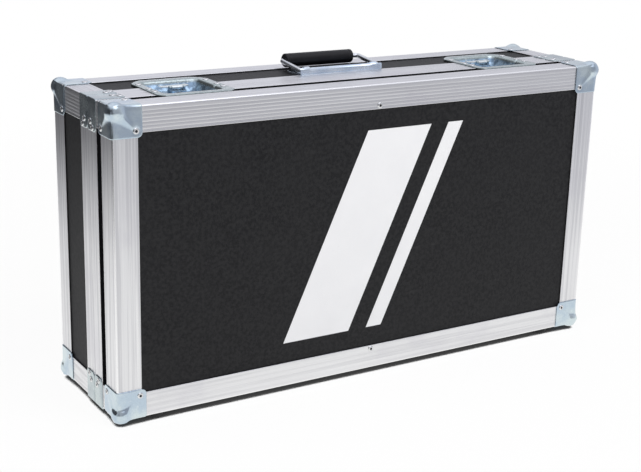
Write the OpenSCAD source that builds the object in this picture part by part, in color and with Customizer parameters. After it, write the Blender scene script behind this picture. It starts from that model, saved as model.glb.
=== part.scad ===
// Flight case for a guitar pedalboard, standing on its hinge side with the handle on top.
// Laminated plywood boards are held in aluminium extrusions, with steel balls at the eight
// corners. The shallow front half is the lid: it is hinged along its lower edge and held by
// two recessed twist latches. Millimetres. +X runs right along the front, +Y to the back
// and +Z up. The origin is the centre of the footprint, on the surface under the feet.

/* [Case] */
// Overall width over the aluminium edges
case_w = 680; // [560:10:900]
// Overall height over the aluminium edges, from the hinge side to the handle side
case_h = 360; // [260:10:480]
// Depth of the lid, from its front face to the joint
lid_d = 65; // [61:1:110]
// Depth of the base, from the joint to its rear face
base_d = 105; // [100:1:200]
// Thickness of the plywood boards
board_t = 7; // [5.5:0.1:9]

/* [Aluminium extrusions] */
// Leg of the angle extrusions along the outer edges
angle_leg = 30; // [26:1:34]
// Visible leg of each closure extrusion beside the joint
closure_leg = 22.5; // [20:0.5:28]
// Inner leg of each closure extrusion, on the inside of the board
inner_leg = 14; // [8:1:16]
// Wall thickness of all the extrusions
ext_t = 1.6; // [1.2:0.05:2]
// Height of the tongue on the base, which closes into the lid
tongue_h = 3; // [2:0.1:3.4]
// Thickness of the tongue
tongue_t = 2; // [1.5:0.1:2.4]
// Room round the tongue in its groove
tongue_gap = 0.8; // [0.6:0.05:1]
// Radius of the rounded outer edge of an angle
edge_r = 2; // [1:0.1:3]
// Distance from one rib groove to the next
rib_pitch = 4; // [3:0.5:6]
// Width of a rib groove
rib_w = 1; // [0.5:0.1:1.5]
// Depth of a rib groove
rib_depth = 0.3; // [0.1:0.05:0.5]
// How much of each extrusion is cut away at a corner, to clear the ball
corner_cut = 3; // [2:0.1:3.5]

/* [Corner fittings] */
// Side of each of the three square petals of a ball corner
petal_l = 35; // [30:1:36]
// Thickness of the pressed sheet of ball corners, braces and latch plates
sheet_t = 1.3; // [1:0.05:1.6]
// Radius of the ball
ball_r = 11; // [10.6:0.1:12]
// How far the centre of the ball lies inside the three outer faces
ball_in = 6; // [5.6:0.1:6.2]
// Length of each leg of the braces beside the joint
brace_l = 36; // [30:1:44]
// Distance from the corner to the rivet in a petal
petal_rivet = 27.5; // [22:0.5:29]

/* [Rivets] */
// Radius of a rivet's head
rivet_head_r = 3.2; // [2.6:0.1:4]
// Height of a rivet's head
rivet_head_h = 1.1; // [0.8:0.1:1.5]
// Radius of a rivet's shank
rivet_r = 1.6; // [1.2:0.1:2]
// Play between a rivet and its hole
rivet_gap = 0.05; // [0.02:0.01:0.1]
// How deep a rivet reaches into the board
rivet_grip = 4; // [2:0.5:5]

/* [Latches] */
// Distance from a side of the case to the middle of a latch
latch_end = 118.5; // [95:0.5:140]
// Width of a latch plate
latch_w = 96; // [88:1:110]
// How far the latch plate reaches back from the joint
latch_base_y = 61; // [60:1:70]
// How far the keeper plate reaches forward from the joint
latch_lid_y = 34; // [26:1:34]
// Clipped corner of a latch plate
latch_clip = 16; // [8:1:18]
// Clipped corner of a keeper plate
keeper_clip = 8; // [2:1:12]
// Width of the recess
pocket_w = 72; // [64:1:78]
// Depth of the recess below the top of the case
pocket_depth = 12; // [11:0.5:14]
// How far the recess reaches back from the joint
pocket_base_y = 50; // [50:0.5:54]
// How far the recess reaches forward from the joint
pocket_lid_y = 22; // [21:0.5:24]
// Radius of the turning drum
drum_r = 11; // [10:0.5:12]
// Radius of the spindle that the drum turns on
spindle_r = 4; // [3:0.25:5]
// Half the width of the wing that is turned by hand
wing_half_w = 18; // [14:0.5:19]
// Length of the wing from its pin
wing_l = 15; // [12:0.5:16]
// Travel of the hook between open and shut
hook_travel = 10; // [8:0.5:11]
// Width of the hook plate
hook_w = 28; // [22:1:32]
// Thickness of the hook plate
hook_t = 2.2; // [1.6:0.1:2.6]

/* [Handle] */
// Distance from the joint to the front edge of the handle plate
handle_plate_y = 21; // [20:0.5:21]
// Width of the handle plate, from front to back
handle_plate_w = 34; // [30:1:40]
// Distance from the joint to the handle's pivot
handle_pivot_y = 26; // [26:0.5:28]
// Distance from the pivot to the middle of the grip
handle_arm = 48; // [46:1:54]
// Diameter of the wire of the bail
bail_d = 6; // [5:0.5:7]
// Diameter of the rubber grip
grip_d = 17; // [15:0.5:20]
// Length of the rubber grip
grip_l = 98; // [88:1:98]
// How far the grip has slid to the left along the wire
grip_aside = 3.3; // [0:0.1:3.3]
// Distance between the centres of the two arms
bail_w = 112; // [111:1:122]

/* [Hinges and feet] */
// Distance from a side of the case to the middle of a hinge
hinge_end = 140; // [80:5:180]
// Length of a hinge
hinge_l = 60; // [50:1:80]
// Length of a hinge leaf away from the joint
leaf_l = 20; // [16:0.5:20]
// Outer radius of the hinge barrel
barrel_r = 3; // [2.6:0.1:3.2]
// Radius of the hinge pin
hinge_pin_r = 1.5; // [1.2:0.1:1.7]
// Height of the rubber feet
foot_h = 7; // [6.8:0.1:12]
// Radius of the rubber feet
foot_r = 11; // [9:0.5:13]
// Distance from a side of the case to the middle of a foot
foot_in_x = 51; // [50:1:80]
// Distance from the front or rear face to the middle of a foot
foot_in_y = 16; // [14:0.5:18]

/* [Lining and front] */
// Thickness of the foam along the walls
wall_foam_t = 8; // [6:0.5:12]
// Thickness of the foam pad in the lid
lid_pad_t = 12; // [8:1:15]
// Thickness of the foam pad in the base
base_pad_t = 12; // [8:1:20]
// Bare panel above and below the painted bands
band_margin = 25; // [10:5:60]
// Width of the broad band
band_w = 92; // [40:2:110]
// Width of the narrow band
thin_band_w = 22; // [10:1:40]
// Space between the two bands
band_gap = 26; // [10:1:40]
// Slant of the bands from the vertical, in degrees
band_slant = 24; // [0:1:35]

/* [Hidden] */

// Finishes
aluminium = "#cfd0d6";
laminate = "#232327";
zinc = "#a9bcc8";
steel = "#c2c8ce";
rubber = "#1b1b1d";
foam = "#33343a";
white = "#f0f0f4";

// Smoothness of the turned surfaces
$fn = 48;

// Outer faces of the case
x_side = case_w / 2;
z_bottom = foot_h;
z_top = foot_h + case_h;
z_mid = foot_h + case_h / 2;
y_front = -(lid_d + base_d) / 2;
y_joint = y_front + lid_d;
y_back = y_joint + base_d;

// Depths below an outer face: the board, then the inner leg of a closure
board_in = ext_t + board_t;
liner_in = board_in + ext_t;
// The tongue stands in the middle of the board's thickness
tongue_v = ext_t + (board_t - tongue_t) / 2;
// Where a board ends, measured from the joint
base_edge = ext_t;
lid_edge = tongue_h + tongue_gap + ext_t;

// Latch levels, measured down from the top of the case
latch_x = x_side - latch_end;
dish_floor = pocket_depth;
dish_under = pocket_depth + sheet_t;
hook_top = dish_floor - hook_t;
drum_gap = 0.2;
drum_h = 4.2;
drum_top = hook_top - drum_gap - drum_h;
wing_pin_r = 1.2;
wing_pin_gap = 0.06;
wing_barrel_r = 2.2;
wing_t = 2;
wing_axis = drum_top - wing_barrel_r - 0.3;
lug_w = 3;
lug_in = 7;
rotor_y = pocket_base_y / 2;
spindle_gap = 0.06;
spindle_head_r = 6;
spindle_head_h = 1.2;
hook_nose = 0.6;
hook_tail = 16;
hook_lip_h = 2.2;
hook_lip_l = 2.4;
nose_w = 20;
keeper_t = 2.4;
keeper_play = 0.6;
keeper_bar = 2.4;
// The lip of the hook, when it is out, is just past the keeper's bridge
keeper_y = hook_travel - hook_nose - hook_lip_l - keeper_t - 0.2;
pocket_gap = 0.3;

// Handle levels, measured up from the top of the case
wire_r = bail_d / 2;
grip_r = grip_d / 2;
grip_seat_gap = 1.2;
tube_wall = 1.6;
tube_gap = 0.06;
tube_r = wire_r + tube_gap + tube_wall;
pivot_z = tube_r;
// The arms rise from the pivot to the grip, which just clears the case
handle_lean = asin((grip_r + grip_seat_gap - pivot_z) / handle_arm);
arm_gap = 0.5;
arm_notch_gap = 0.4;
tube_half_l = bail_w / 2 - wire_r - arm_gap;
pivot_pin_l = 15;
grip_gap = 0.05;
handle_rivet_x = 42;
// The plate reaches to the outer sides of the arms
handle_plate_l = bail_w + bail_d;

// Hinge levels, measured down from the bottom of the case
hinge_x = x_side - hinge_end;
hinge_axis = barrel_r + 0.3;
leaf_t = 1.6;
knuckle = hinge_l / 3;
knuckle_gap = 0.4;
leaf_clear = barrel_r + 0.6;
hinge_pin_gap = 0.06;

// Small clearances and parts
decal_t = 0.3;
band_h = case_h - 2 * (angle_leg + band_margin);
foot_chamfer = 1.5;
foot_recess_r = 4.5;
foot_recess_h = 3.5;
brace_end = 5;
brace_inset = 0.5;
foam_gap = 0.5;
cut = 1;

// ---- Frames of reference ----

// Local frames on the four sides of the case: x runs along the side, y is the case's own
// y, and z is the depth below the outer face
module on_bottom() translate([0, 0, z_bottom]) children();
module on_top() translate([0, 0, z_top]) mirror([0, 0, 1]) children();
module on_right() translate([x_side, 0, z_mid]) rotate([0, -90, 0]) children();
module on_left() mirror([1, 0, 0]) on_right() children();

// Local frame at a corner of the case, with all three axes pointing inwards
module at_vertex(sx, y, sy, sz) {
  translate([sx * x_side, y, sz > 0 ? z_top : z_bottom])
    mirror([sx > 0 ? 1 : 0, 0, 0])
      mirror([0, sy > 0 ? 1 : 0, 0])
        mirror([0, 0, sz > 0 ? 1 : 0])
          children();
}

// The four corners of the case in the plane y
module at_four_vertices(y, sy) {
  for (sx = [-1, 1], sz = [-1, 1])
    at_vertex(sx, y, sy, sz) children();
}

// A bar along x with mitred ends, whose profile is drawn in y and depth
module mitred_bar(length) {
  reach = angle_leg + cut;
  intersection() {
    rotate([90, 0, 90])
      linear_extrude(length, center = true)
        children();
    rotate([90, 0, 0])
      linear_extrude(lid_d + base_d + 2 * cut, center = true)
        polygon([
          [-length / 2, 0], [length / 2, 0],
          [length / 2 - reach, reach], [reach - length / 2, reach]
        ]);
  }
}

// ---- Extrusion profiles ----

// Rib grooves along a leg that lies on the first axis
module rib_grooves(leg) {
  for (at = [rib_pitch + edge_r : rib_pitch : leg - rib_w - ext_t])
    translate([at, -cut])
      square([rib_w, rib_depth + cut]);
}

// Angle with a rounded outer edge, with its two legs on the axes
module angle_profile() {
  difference() {
    union() {
      square([angle_leg, ext_t]);
      square([ext_t, angle_leg]);
    }
    difference() {
      square(edge_r);
      translate([edge_r, edge_r]) circle(edge_r);
    }
    rib_grooves(angle_leg);
    mirror([1, -1]) rib_grooves(angle_leg);
  }
}

// Closure of the base: a channel over the board's edge, with a tongue. The first axis is
// the distance from the joint.
module tongue_profile() {
  difference() {
    union() {
      square([closure_leg, ext_t]);
      translate([0, ext_t]) square([base_edge, board_t]);
      translate([0, board_in]) square([inner_leg, ext_t]);
      translate([-tongue_h, tongue_v]) square([tongue_h + cut / 2, tongue_t]);
    }
    rib_grooves(closure_leg);
  }
}

// Closure of the lid: the same channel with a groove that takes the tongue
module groove_profile() {
  difference() {
    union() {
      square([closure_leg, ext_t]);
      translate([0, ext_t]) square([lid_edge, board_t]);
      translate([0, board_in]) square([inner_leg, ext_t]);
    }
    translate([-cut, tongue_v - tongue_gap])
      square([tongue_h + tongue_gap + cut, tongue_t + 2 * tongue_gap]);
    rib_grooves(closure_leg);
  }
}

// ---- Rivets: each one is [place, axis it points along, sign] ----

function rivet_turn(r) = r[1] == "x" ? [0, 90 * r[2], 0]
  : r[1] == "y" ? [-90 * r[2], 0, 0]
  : [r[2] > 0 ? 0 : 180, 0, 0];

module at_rivets(list) {
  for (r = list)
    translate(r[0]) rotate(rivet_turn(r)) children();
}

// Domed head on the sheet, with a shank through the sheet and the edge into the board
module rivet() {
  cylinder(h = rivet_head_h, r1 = rivet_head_r, r2 = rivet_head_r * 0.6);
  translate([0, 0, -sheet_t - ext_t - rivet_grip])
    cylinder(h = sheet_t + ext_t + rivet_grip + cut / 2, r = rivet_r);
}

module rivet_holes(list) {
  at_rivets(list)
    translate([0, 0, -sheet_t - ext_t - rivet_grip])
      cylinder(h = sheet_t + ext_t + rivet_grip + cut, r = rivet_r + rivet_gap);
}

// One rivet in each petal of the ball corners on the face y, whose outside is towards sy
function petal_rivets(y, sy) = [
  for (sx = [-1, 1], sz = [-1, 1])
    let (
      xs = sx * x_side,
      zs = sz > 0 ? z_top : z_bottom,
      xi = xs - sx * petal_rivet,
      yi = y - sy * petal_rivet,
      zi = zs - sz * petal_rivet
    )
    each [
      [[xi, y + sy * sheet_t, zi], "y", sy],
      [[xs + sx * sheet_t, yi, zi], "x", sx],
      [[xi, yi, zs + sz * sheet_t], "z", sz]
    ]
];

// Two rivets near the tip of each leg of the braces, on the side sy of the joint
function brace_rivets(sy) = [
  for (sx = [-1, 1], sz = [-1, 1], k = [0, 1])
    let (
      xs = sx * x_side,
      zs = sz > 0 ? z_top : z_bottom,
      along = brace_l - 11 + 6.5 * k,
      y = y_joint + sy * (closure_leg / 2 + (k == 0 ? -2.5 : 2.5))
    )
    each [
      [[xs + sx * sheet_t, y, zs - sz * along], "x", sx],
      [[xs - sx * along, y, zs + sz * sheet_t], "z", sz]
    ]
];

latch_rivet_x = (pocket_w / 2 + latch_w / 2) / 2 + sheet_t / 2;
latch_rivets = [
  for (s = [-1, 1], side = [-1, 1], dy = [8, latch_base_y - latch_clip - 8])
    [[s * latch_x + side * latch_rivet_x, y_joint + dy, z_top + sheet_t], "z", 1]
];
keeper_rivets = [
  for (s = [-1, 1], side = [-1, 1])
    [[s * latch_x + side * latch_rivet_x, y_joint - 8, z_top + sheet_t], "z", 1]
];
handle_rivets = [
  for (side = [-1, 1], dy = [handle_plate_w - 16, handle_plate_w - 5])
    [[side * handle_rivet_x, y_joint + handle_plate_y + dy, z_top + sheet_t], "z", 1]
];

// Screws of the hinge leaves and of the feet, which point down
function leaf_screws(sy) = [
  for (s = [-1, 1], dx = [-knuckle, 0, knuckle])
    [
      [s * hinge_x + dx, y_joint + sy * (leaf_l - 6), z_bottom - leaf_t],
      "z", -1
    ]
];
function foot_screws(y) = [
  for (s = [-1, 1])
    [[s * (x_side - foot_in_x), y, z_bottom - foot_h + foot_recess_h], "z", -1]
];

// Small screws in the middle of the upper and lower front edge
frame_screws = [
  for (sz = [-1, 1])
    [[0, y_front, z_mid + sz * (case_h / 2 - angle_leg + 4.5)], "y", -1]
];

lid_foot_y = y_front + foot_in_y;
base_foot_y = y_back - foot_in_y;
lid_rivet_list = concat(
  petal_rivets(y_front, -1), brace_rivets(-1), keeper_rivets, leaf_screws(-1),
  foot_screws(lid_foot_y), frame_screws
);
base_rivet_list = concat(
  petal_rivets(y_back, 1), brace_rivets(1), latch_rivets, handle_rivets, leaf_screws(1),
  foot_screws(base_foot_y)
);

module less_lid_rivets() {
  difference() {
    children();
    rivet_holes(lid_rivet_list);
  }
}

module less_base_rivets() {
  difference() {
    children();
    rivet_holes(base_rivet_list);
  }
}

// ---- Boards ----

// The hole that both halves of each latch recess need through the top of the case
module latch_cutouts() {
  for (s = [-1, 1])
    translate([
      s * latch_x - pocket_w / 2 - sheet_t - pocket_gap,
      y_joint - pocket_lid_y - sheet_t - pocket_gap,
      z_top - dish_under - pocket_gap
    ])
      cube([
        pocket_w + 2 * (sheet_t + pocket_gap),
        pocket_lid_y + pocket_base_y + 2 * (sheet_t + pocket_gap),
        dish_under + pocket_gap + cut
      ]);
}

// A board across the full width, at a depth below its outer face
module long_wall(y_from, y_to) {
  translate([ext_t - x_side, y_from, ext_t])
    cube([case_w - 2 * ext_t, y_to - y_from, board_t]);
}

// A board between the two long ones
module short_wall(y_from, y_to) {
  half = case_h / 2 - board_in;
  translate([-half, y_from, ext_t])
    cube([2 * half, y_to - y_from, board_t]);
}

// The large board that closes the front or the back
module large_panel(y) {
  translate([ext_t - x_side, y, z_bottom + ext_t])
    cube([case_w - 2 * ext_t, board_t, case_h - 2 * ext_t]);
}

lid_wall_from = y_front + board_in;
lid_wall_to = y_joint - lid_edge;
base_wall_from = y_joint + base_edge;
base_wall_to = y_back - board_in;

module lid_panel() color(laminate) less_lid_rivets() large_panel(y_front + ext_t);

module lid_top_wall() {
  color(laminate)
    less_lid_rivets()
      difference() {
        on_top() long_wall(lid_wall_from, lid_wall_to);
        latch_cutouts();
      }
}

module lid_bottom_wall() {
  color(laminate) less_lid_rivets() on_bottom() long_wall(lid_wall_from, lid_wall_to);
}

module lid_left_wall() {
  color(laminate) less_lid_rivets() on_left() short_wall(lid_wall_from, lid_wall_to);
}

module lid_right_wall() {
  color(laminate) less_lid_rivets() on_right() short_wall(lid_wall_from, lid_wall_to);
}

module back_panel() {
  color(laminate) less_base_rivets() large_panel(y_back - board_in);
}

module base_top_wall() {
  color(laminate)
    less_base_rivets()
      difference() {
        on_top() long_wall(base_wall_from, base_wall_to);
        latch_cutouts();
      }
}

module base_bottom_wall() {
  color(laminate) less_base_rivets() on_bottom() long_wall(base_wall_from, base_wall_to);
}

module base_left_wall() {
  color(laminate) less_base_rivets() on_left() short_wall(base_wall_from, base_wall_to);
}

module base_right_wall() {
  color(laminate) less_base_rivets() on_right() short_wall(base_wall_from, base_wall_to);
}

// ---- Angle extrusions round the front and the back ----

module corner_cuts(y, sy) {
  at_four_vertices(y, sy)
    translate([-cut, -cut, -cut]) cube(corner_cut + cut);
}

module lid_frame_bar(length) {
  mitred_bar(length) translate([y_front, 0]) angle_profile();
}

module rear_frame_bar(length) {
  mitred_bar(length) translate([y_back, 0]) mirror([1, 0]) angle_profile();
}

module finish_lid_bar() {
  color(aluminium)
    less_lid_rivets()
      difference() {
        children();
        corner_cuts(y_front, -1);
      }
}

module finish_rear_bar() {
  color(aluminium)
    less_base_rivets()
      difference() {
        children();
        corner_cuts(y_back, 1);
      }
}

module lid_frame_top() finish_lid_bar() on_top() lid_frame_bar(case_w);
module lid_frame_bottom() finish_lid_bar() on_bottom() lid_frame_bar(case_w);
module lid_frame_left() finish_lid_bar() on_left() lid_frame_bar(case_h);
module lid_frame_right() finish_lid_bar() on_right() lid_frame_bar(case_h);
module rear_frame_top() finish_rear_bar() on_top() rear_frame_bar(case_w);
module rear_frame_bottom() finish_rear_bar() on_bottom() rear_frame_bar(case_w);
module rear_frame_left() finish_rear_bar() on_left() rear_frame_bar(case_h);
module rear_frame_right() finish_rear_bar() on_right() rear_frame_bar(case_h);

// ---- Closure extrusions on both sides of the joint ----

module lid_closure_bar(length) {
  mitred_bar(length) translate([y_joint, 0]) mirror([1, 0]) groove_profile();
}

module base_closure_bar(length) {
  mitred_bar(length) translate([y_joint, 0]) tongue_profile();
}

module lid_closure_top() {
  color(aluminium)
    less_lid_rivets()
      difference() {
        on_top() lid_closure_bar(case_w);
        latch_cutouts();
      }
}

module base_closure_top() {
  color(aluminium)
    less_base_rivets()
      difference() {
        on_top() base_closure_bar(case_w);
        latch_cutouts();
      }
}

module lid_closure_bottom() {
  color(aluminium) less_lid_rivets() on_bottom() lid_closure_bar(case_w);
}

module lid_closure_left() {
  color(aluminium) less_lid_rivets() on_left() lid_closure_bar(case_h);
}

module lid_closure_right() {
  color(aluminium) less_lid_rivets() on_right() lid_closure_bar(case_h);
}

module base_closure_bottom() {
  color(aluminium) less_base_rivets() on_bottom() base_closure_bar(case_w);
}

module base_closure_left() {
  color(aluminium) less_base_rivets() on_left() base_closure_bar(case_h);
}

module base_closure_right() {
  color(aluminium) less_base_rivets() on_right() base_closure_bar(case_h);
}

// ---- Short angles along the edges from front to back ----

module edge_angles(y_from, y_to) {
  color(aluminium)
    at_four_vertices(y_to, -1)
      rotate([90, 0, 0]) linear_extrude(y_to - y_from) angle_profile();
}

module lid_edge_angles() edge_angles(y_front + angle_leg, y_joint - closure_leg);
module base_edge_angles() edge_angles(y_joint + closure_leg, y_back - angle_leg);

// ---- Corner fittings ----

// Pressed steel corner: three petals over the edges, and a ball over the corner
module ball_corner() {
  difference() {
    union() {
      translate([-sheet_t, -sheet_t, -sheet_t]) cube(petal_l + sheet_t);
      translate([ball_in, ball_in, ball_in]) sphere(ball_r);
    }
    // the corner of the sheet is drawn out into the ball
    difference() {
      translate([-sheet_t - cut, -sheet_t - cut, -sheet_t - cut])
        cube(ball_in + sheet_t + cut);
      translate([ball_in, ball_in, ball_in]) sphere(ball_r);
    }
    // the case itself, whose extrusions are cut away at the corner
    difference() {
      cube(petal_l + cut);
      translate([-cut, -cut, -cut]) cube(corner_cut + cut);
    }
    translate([ext_t, ext_t, ext_t]) cube(petal_l);
  }
}

module lid_ball_corners() {
  color(zinc) less_lid_rivets() at_four_vertices(y_front, -1) ball_corner();
}

module base_ball_corners() {
  color(zinc) less_base_rivets() at_four_vertices(y_back, 1) ball_corner();
}

// Outline of one leg of a brace, rounded at both corners of its tip
module brace_leg(width) {
  difference() {
    translate([-sheet_t, 0]) square([brace_l + sheet_t, width]);
    for (side = [0, 1])
      translate([brace_l - brace_end, side == 0 ? brace_end : width - brace_end])
        difference() {
          translate([0, side == 0 ? -brace_end - cut : 0])
            square([brace_end + cut, brace_end + cut]);
          circle(brace_end);
        }
  }
}

// Angle bracket over a corner beside the joint, from y = 0 to its width
module corner_brace() {
  width = closure_leg - brace_inset;
  difference() {
    union() {
      translate([0, 0, -sheet_t]) linear_extrude(sheet_t) brace_leg(width);
      rotate([0, -90, 0]) linear_extrude(sheet_t) brace_leg(width);
    }
    translate([0, -cut, 0]) cube([brace_l + cut, width + 2 * cut, brace_l + cut]);
  }
}

module lid_corner_braces() {
  color(zinc)
    less_lid_rivets()
      at_four_vertices(y_joint - brace_inset, 1) corner_brace();
}

module base_corner_braces() {
  color(zinc)
    less_base_rivets()
      at_four_vertices(y_joint + brace_inset, -1) corner_brace();
}

module lid_rivets() color(steel) at_rivets(lid_rivet_list) rivet();
module base_rivets() color(steel) at_rivets(base_rivet_list) rivet();

// ---- Feet ----

module rubber_foot() {
  difference() {
    union() {
      cylinder(h = foot_chamfer, r1 = foot_r - foot_chamfer, r2 = foot_r);
      translate([0, 0, foot_chamfer]) cylinder(h = foot_h - foot_chamfer, r = foot_r);
    }
    translate([0, 0, -cut]) cylinder(h = foot_recess_h + cut, r = foot_recess_r);
  }
}

module feet(y) {
  for (s = [-1, 1])
    translate([s * (x_side - foot_in_x), y, 0]) rubber_foot();
}

module lid_feet() color(rubber) less_lid_rivets() feet(lid_foot_y);
module base_feet() color(rubber) less_base_rivets() feet(base_foot_y);

// ---- Foam lining ----

// Foam against the four walls, between two depths
module foam_ring(y_from, y_to) {
  outer_x = x_side - board_in;
  outer_z = case_h / 2 - board_in;
  for (s = [-1, 1]) {
    translate([-outer_x, y_from, z_mid + (s > 0 ? outer_z - wall_foam_t : -outer_z)])
      cube([2 * outer_x, y_to - y_from, wall_foam_t]);
    translate([
      s > 0 ? outer_x - wall_foam_t : -outer_x,
      y_from,
      z_mid - outer_z + wall_foam_t
    ])
      cube([wall_foam_t, y_to - y_from, 2 * (outer_z - wall_foam_t)]);
  }
}

module foam_pad(y_from, y_to) {
  half_x = x_side - board_in - wall_foam_t;
  half_z = case_h / 2 - board_in - wall_foam_t;
  translate([-half_x, y_from, z_mid - half_z])
    cube([2 * half_x, y_to - y_from, 2 * half_z]);
}

module lid_foam_pad() color(foam) foam_pad(lid_wall_from, lid_wall_from + lid_pad_t);
module base_foam_pad() color(foam) foam_pad(base_wall_to - base_pad_t, base_wall_to);

module lid_foam_walls() {
  color(foam)
    difference() {
      foam_ring(lid_wall_from, y_joint - inner_leg - foam_gap);
      latch_cutouts();
    }
}

module base_foam_walls() {
  color(foam)
    difference() {
      foam_ring(y_joint + inner_leg + foam_gap, base_wall_to);
      latch_cutouts();
      for (s = [-1, 1])
        translate([s * latch_x, y_joint + rotor_y, z_top - dish_under - spindle_head_h - cut])
          cylinder(h = spindle_head_h + 2 * cut, r = spindle_head_r + foam_gap);
    }
}

// ---- Recessed latches: local frame at the middle of the latch, on the joint and on the
// top of the case ----

module at_latch(s) translate([s * latch_x, y_joint, z_top]) children();

// Plate with two clipped corners, away from the joint
module latch_outline(reach, clip) {
  polygon([
    [-latch_w / 2, 0], [latch_w / 2, 0],
    [latch_w / 2, reach - clip], [latch_w / 2 - clip, reach],
    [clip - latch_w / 2, reach], [-latch_w / 2, reach - clip]
  ]);
}

// Half of the recess with its flange, open towards the joint
module recess(reach, pocket_y, clip) {
  difference() {
    union() {
      linear_extrude(sheet_t) latch_outline(reach, clip);
      // packing that takes up the step from the extrusion down to the board
      intersection() {
        translate([0, 0, -ext_t]) linear_extrude(ext_t) latch_outline(reach, clip);
        translate([-latch_w / 2, closure_leg, -ext_t])
          cube([latch_w, reach - closure_leg, ext_t]);
      }
      translate([-pocket_w / 2 - sheet_t, 0, -dish_under])
        cube([pocket_w + 2 * sheet_t, pocket_y + sheet_t, dish_under]);
    }
    translate([-pocket_w / 2, -cut, -dish_floor])
      cube([pocket_w, pocket_y + cut, dish_floor + sheet_t + cut]);
  }
}

module latch_dish(s) {
  color(zinc)
    less_base_rivets()
      at_latch(s)
        difference() {
          recess(latch_base_y, pocket_base_y, latch_clip);
          translate([0, rotor_y, -dish_under - cut])
            cylinder(h = sheet_t + 2 * cut, r = spindle_r + spindle_gap);
        }
}

module left_latch_dish() latch_dish(-1);
module right_latch_dish() latch_dish(1);

// Recess in the lid, with the bridge that the hook slides under
module keeper(s) {
  window_h = hook_t + hook_lip_h + keeper_play;
  window_w = nose_w + 2 * keeper_play;
  color(zinc)
    less_lid_rivets()
      at_latch(s)
        union() {
          mirror([0, 1, 0]) recess(latch_lid_y, pocket_lid_y, keeper_clip);
          translate([0, -keeper_y - keeper_t, -dish_floor])
            difference() {
              translate([-window_w / 2 - keeper_bar, 0, 0])
                cube([window_w + 2 * keeper_bar, keeper_t, window_h + keeper_bar]);
              translate([-window_w / 2, -cut, 0])
                cube([window_w, keeper_t + 2 * cut, window_h]);
            }
        }
}

module left_keeper() keeper(-1);
module right_keeper() keeper(1);

// Drum on a riveted spindle, with two lugs and the pin that the wing folds on
module latch_rotor(s) {
  color(zinc)
    at_latch(s)
      translate([0, rotor_y, 0])
        union() {
          translate([0, 0, -hook_top + drum_gap]) cylinder(h = drum_h, r = drum_r);
          translate([0, 0, -dish_under - spindle_head_h])
            cylinder(h = spindle_head_h, r = spindle_head_r);
          translate([0, 0, -dish_under - spindle_head_h])
            cylinder(h = dish_under + spindle_head_h - hook_top + drum_gap + cut, r = spindle_r);
          for (side = [-1, 1])
            translate([side > 0 ? lug_in : -lug_in - lug_w, 0, -wing_axis]) {
              rotate([0, 90, 0]) cylinder(h = lug_w, r = wing_barrel_r);
              translate([0, -wing_barrel_r, wing_axis - drum_top - cut])
                cube([lug_w, 2 * wing_barrel_r, drum_top - wing_axis + cut]);
            }
          translate([-lug_in - lug_w / 2, 0, -wing_axis])
            rotate([0, 90, 0]) cylinder(h = 2 * lug_in + lug_w, r = wing_pin_r);
        }
}

module left_latch_rotor() latch_rotor(-1);
module right_latch_rotor() latch_rotor(1);

// Bow-tie wing, lying flat behind its pin
module latch_wing(s) {
  play = 0.3;
  waist = lug_in - play;
  start = wing_barrel_r + play;
  color(steel)
    at_latch(s)
      translate([0, rotor_y, -wing_axis])
        difference() {
          union() {
            translate([-waist, 0, 0])
              rotate([0, 90, 0]) cylinder(h = 2 * waist, r = wing_barrel_r);
            translate([-waist, 0, -wing_t / 2]) cube([2 * waist, start + cut, wing_t]);
            translate([0, 0, -wing_t / 2])
              linear_extrude(wing_t)
                polygon([
                  [-waist, start], [waist, start],
                  [wing_half_w, start + 3], [wing_half_w, wing_l],
                  [waist, wing_l - 3], [-waist, wing_l - 3],
                  [-wing_half_w, wing_l], [-wing_half_w, start + 3]
                ]);
          }
          translate([-waist - cut, 0, 0])
            rotate([0, 90, 0])
              cylinder(h = 2 * waist + 2 * cut, r = wing_pin_r + wing_pin_gap);
        }
}

module left_latch_wing() latch_wing(-1);
module right_latch_wing() latch_wing(1);

// Hook plate on the floor of the recess, slotted round the spindle, drawn back
module latch_hook(s) {
  slot_r = spindle_r + 0.3;
  slot_l = hook_travel;
  color(steel)
    at_latch(s)
      translate([0, 0, -dish_floor])
        difference() {
          union() {
            translate([-hook_w / 2, hook_nose + hook_travel + keeper_play, 0])
              cube([
                hook_w,
                rotor_y + hook_tail - hook_nose - hook_travel - keeper_play,
                hook_t
              ]);
            translate([-nose_w / 2, hook_nose, 0])
              cube([nose_w, hook_travel + 2 * keeper_play, hook_t]);
            translate([-nose_w / 2, hook_nose, 0])
              cube([nose_w, hook_lip_l, hook_t + hook_lip_h]);
          }
          for (dy = [0, slot_l])
            translate([0, rotor_y + dy, -cut]) cylinder(h = hook_t + 2 * cut, r = slot_r);
          translate([-slot_r, rotor_y, -cut]) cube([2 * slot_r, slot_l, hook_t + 2 * cut]);
        }
}

module left_latch_hook() latch_hook(-1);
module right_latch_hook() latch_hook(1);

// ---- Handle: local frame on the joint, in the middle of the top ----

module at_handle() translate([0, y_joint, z_top]) children();

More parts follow.
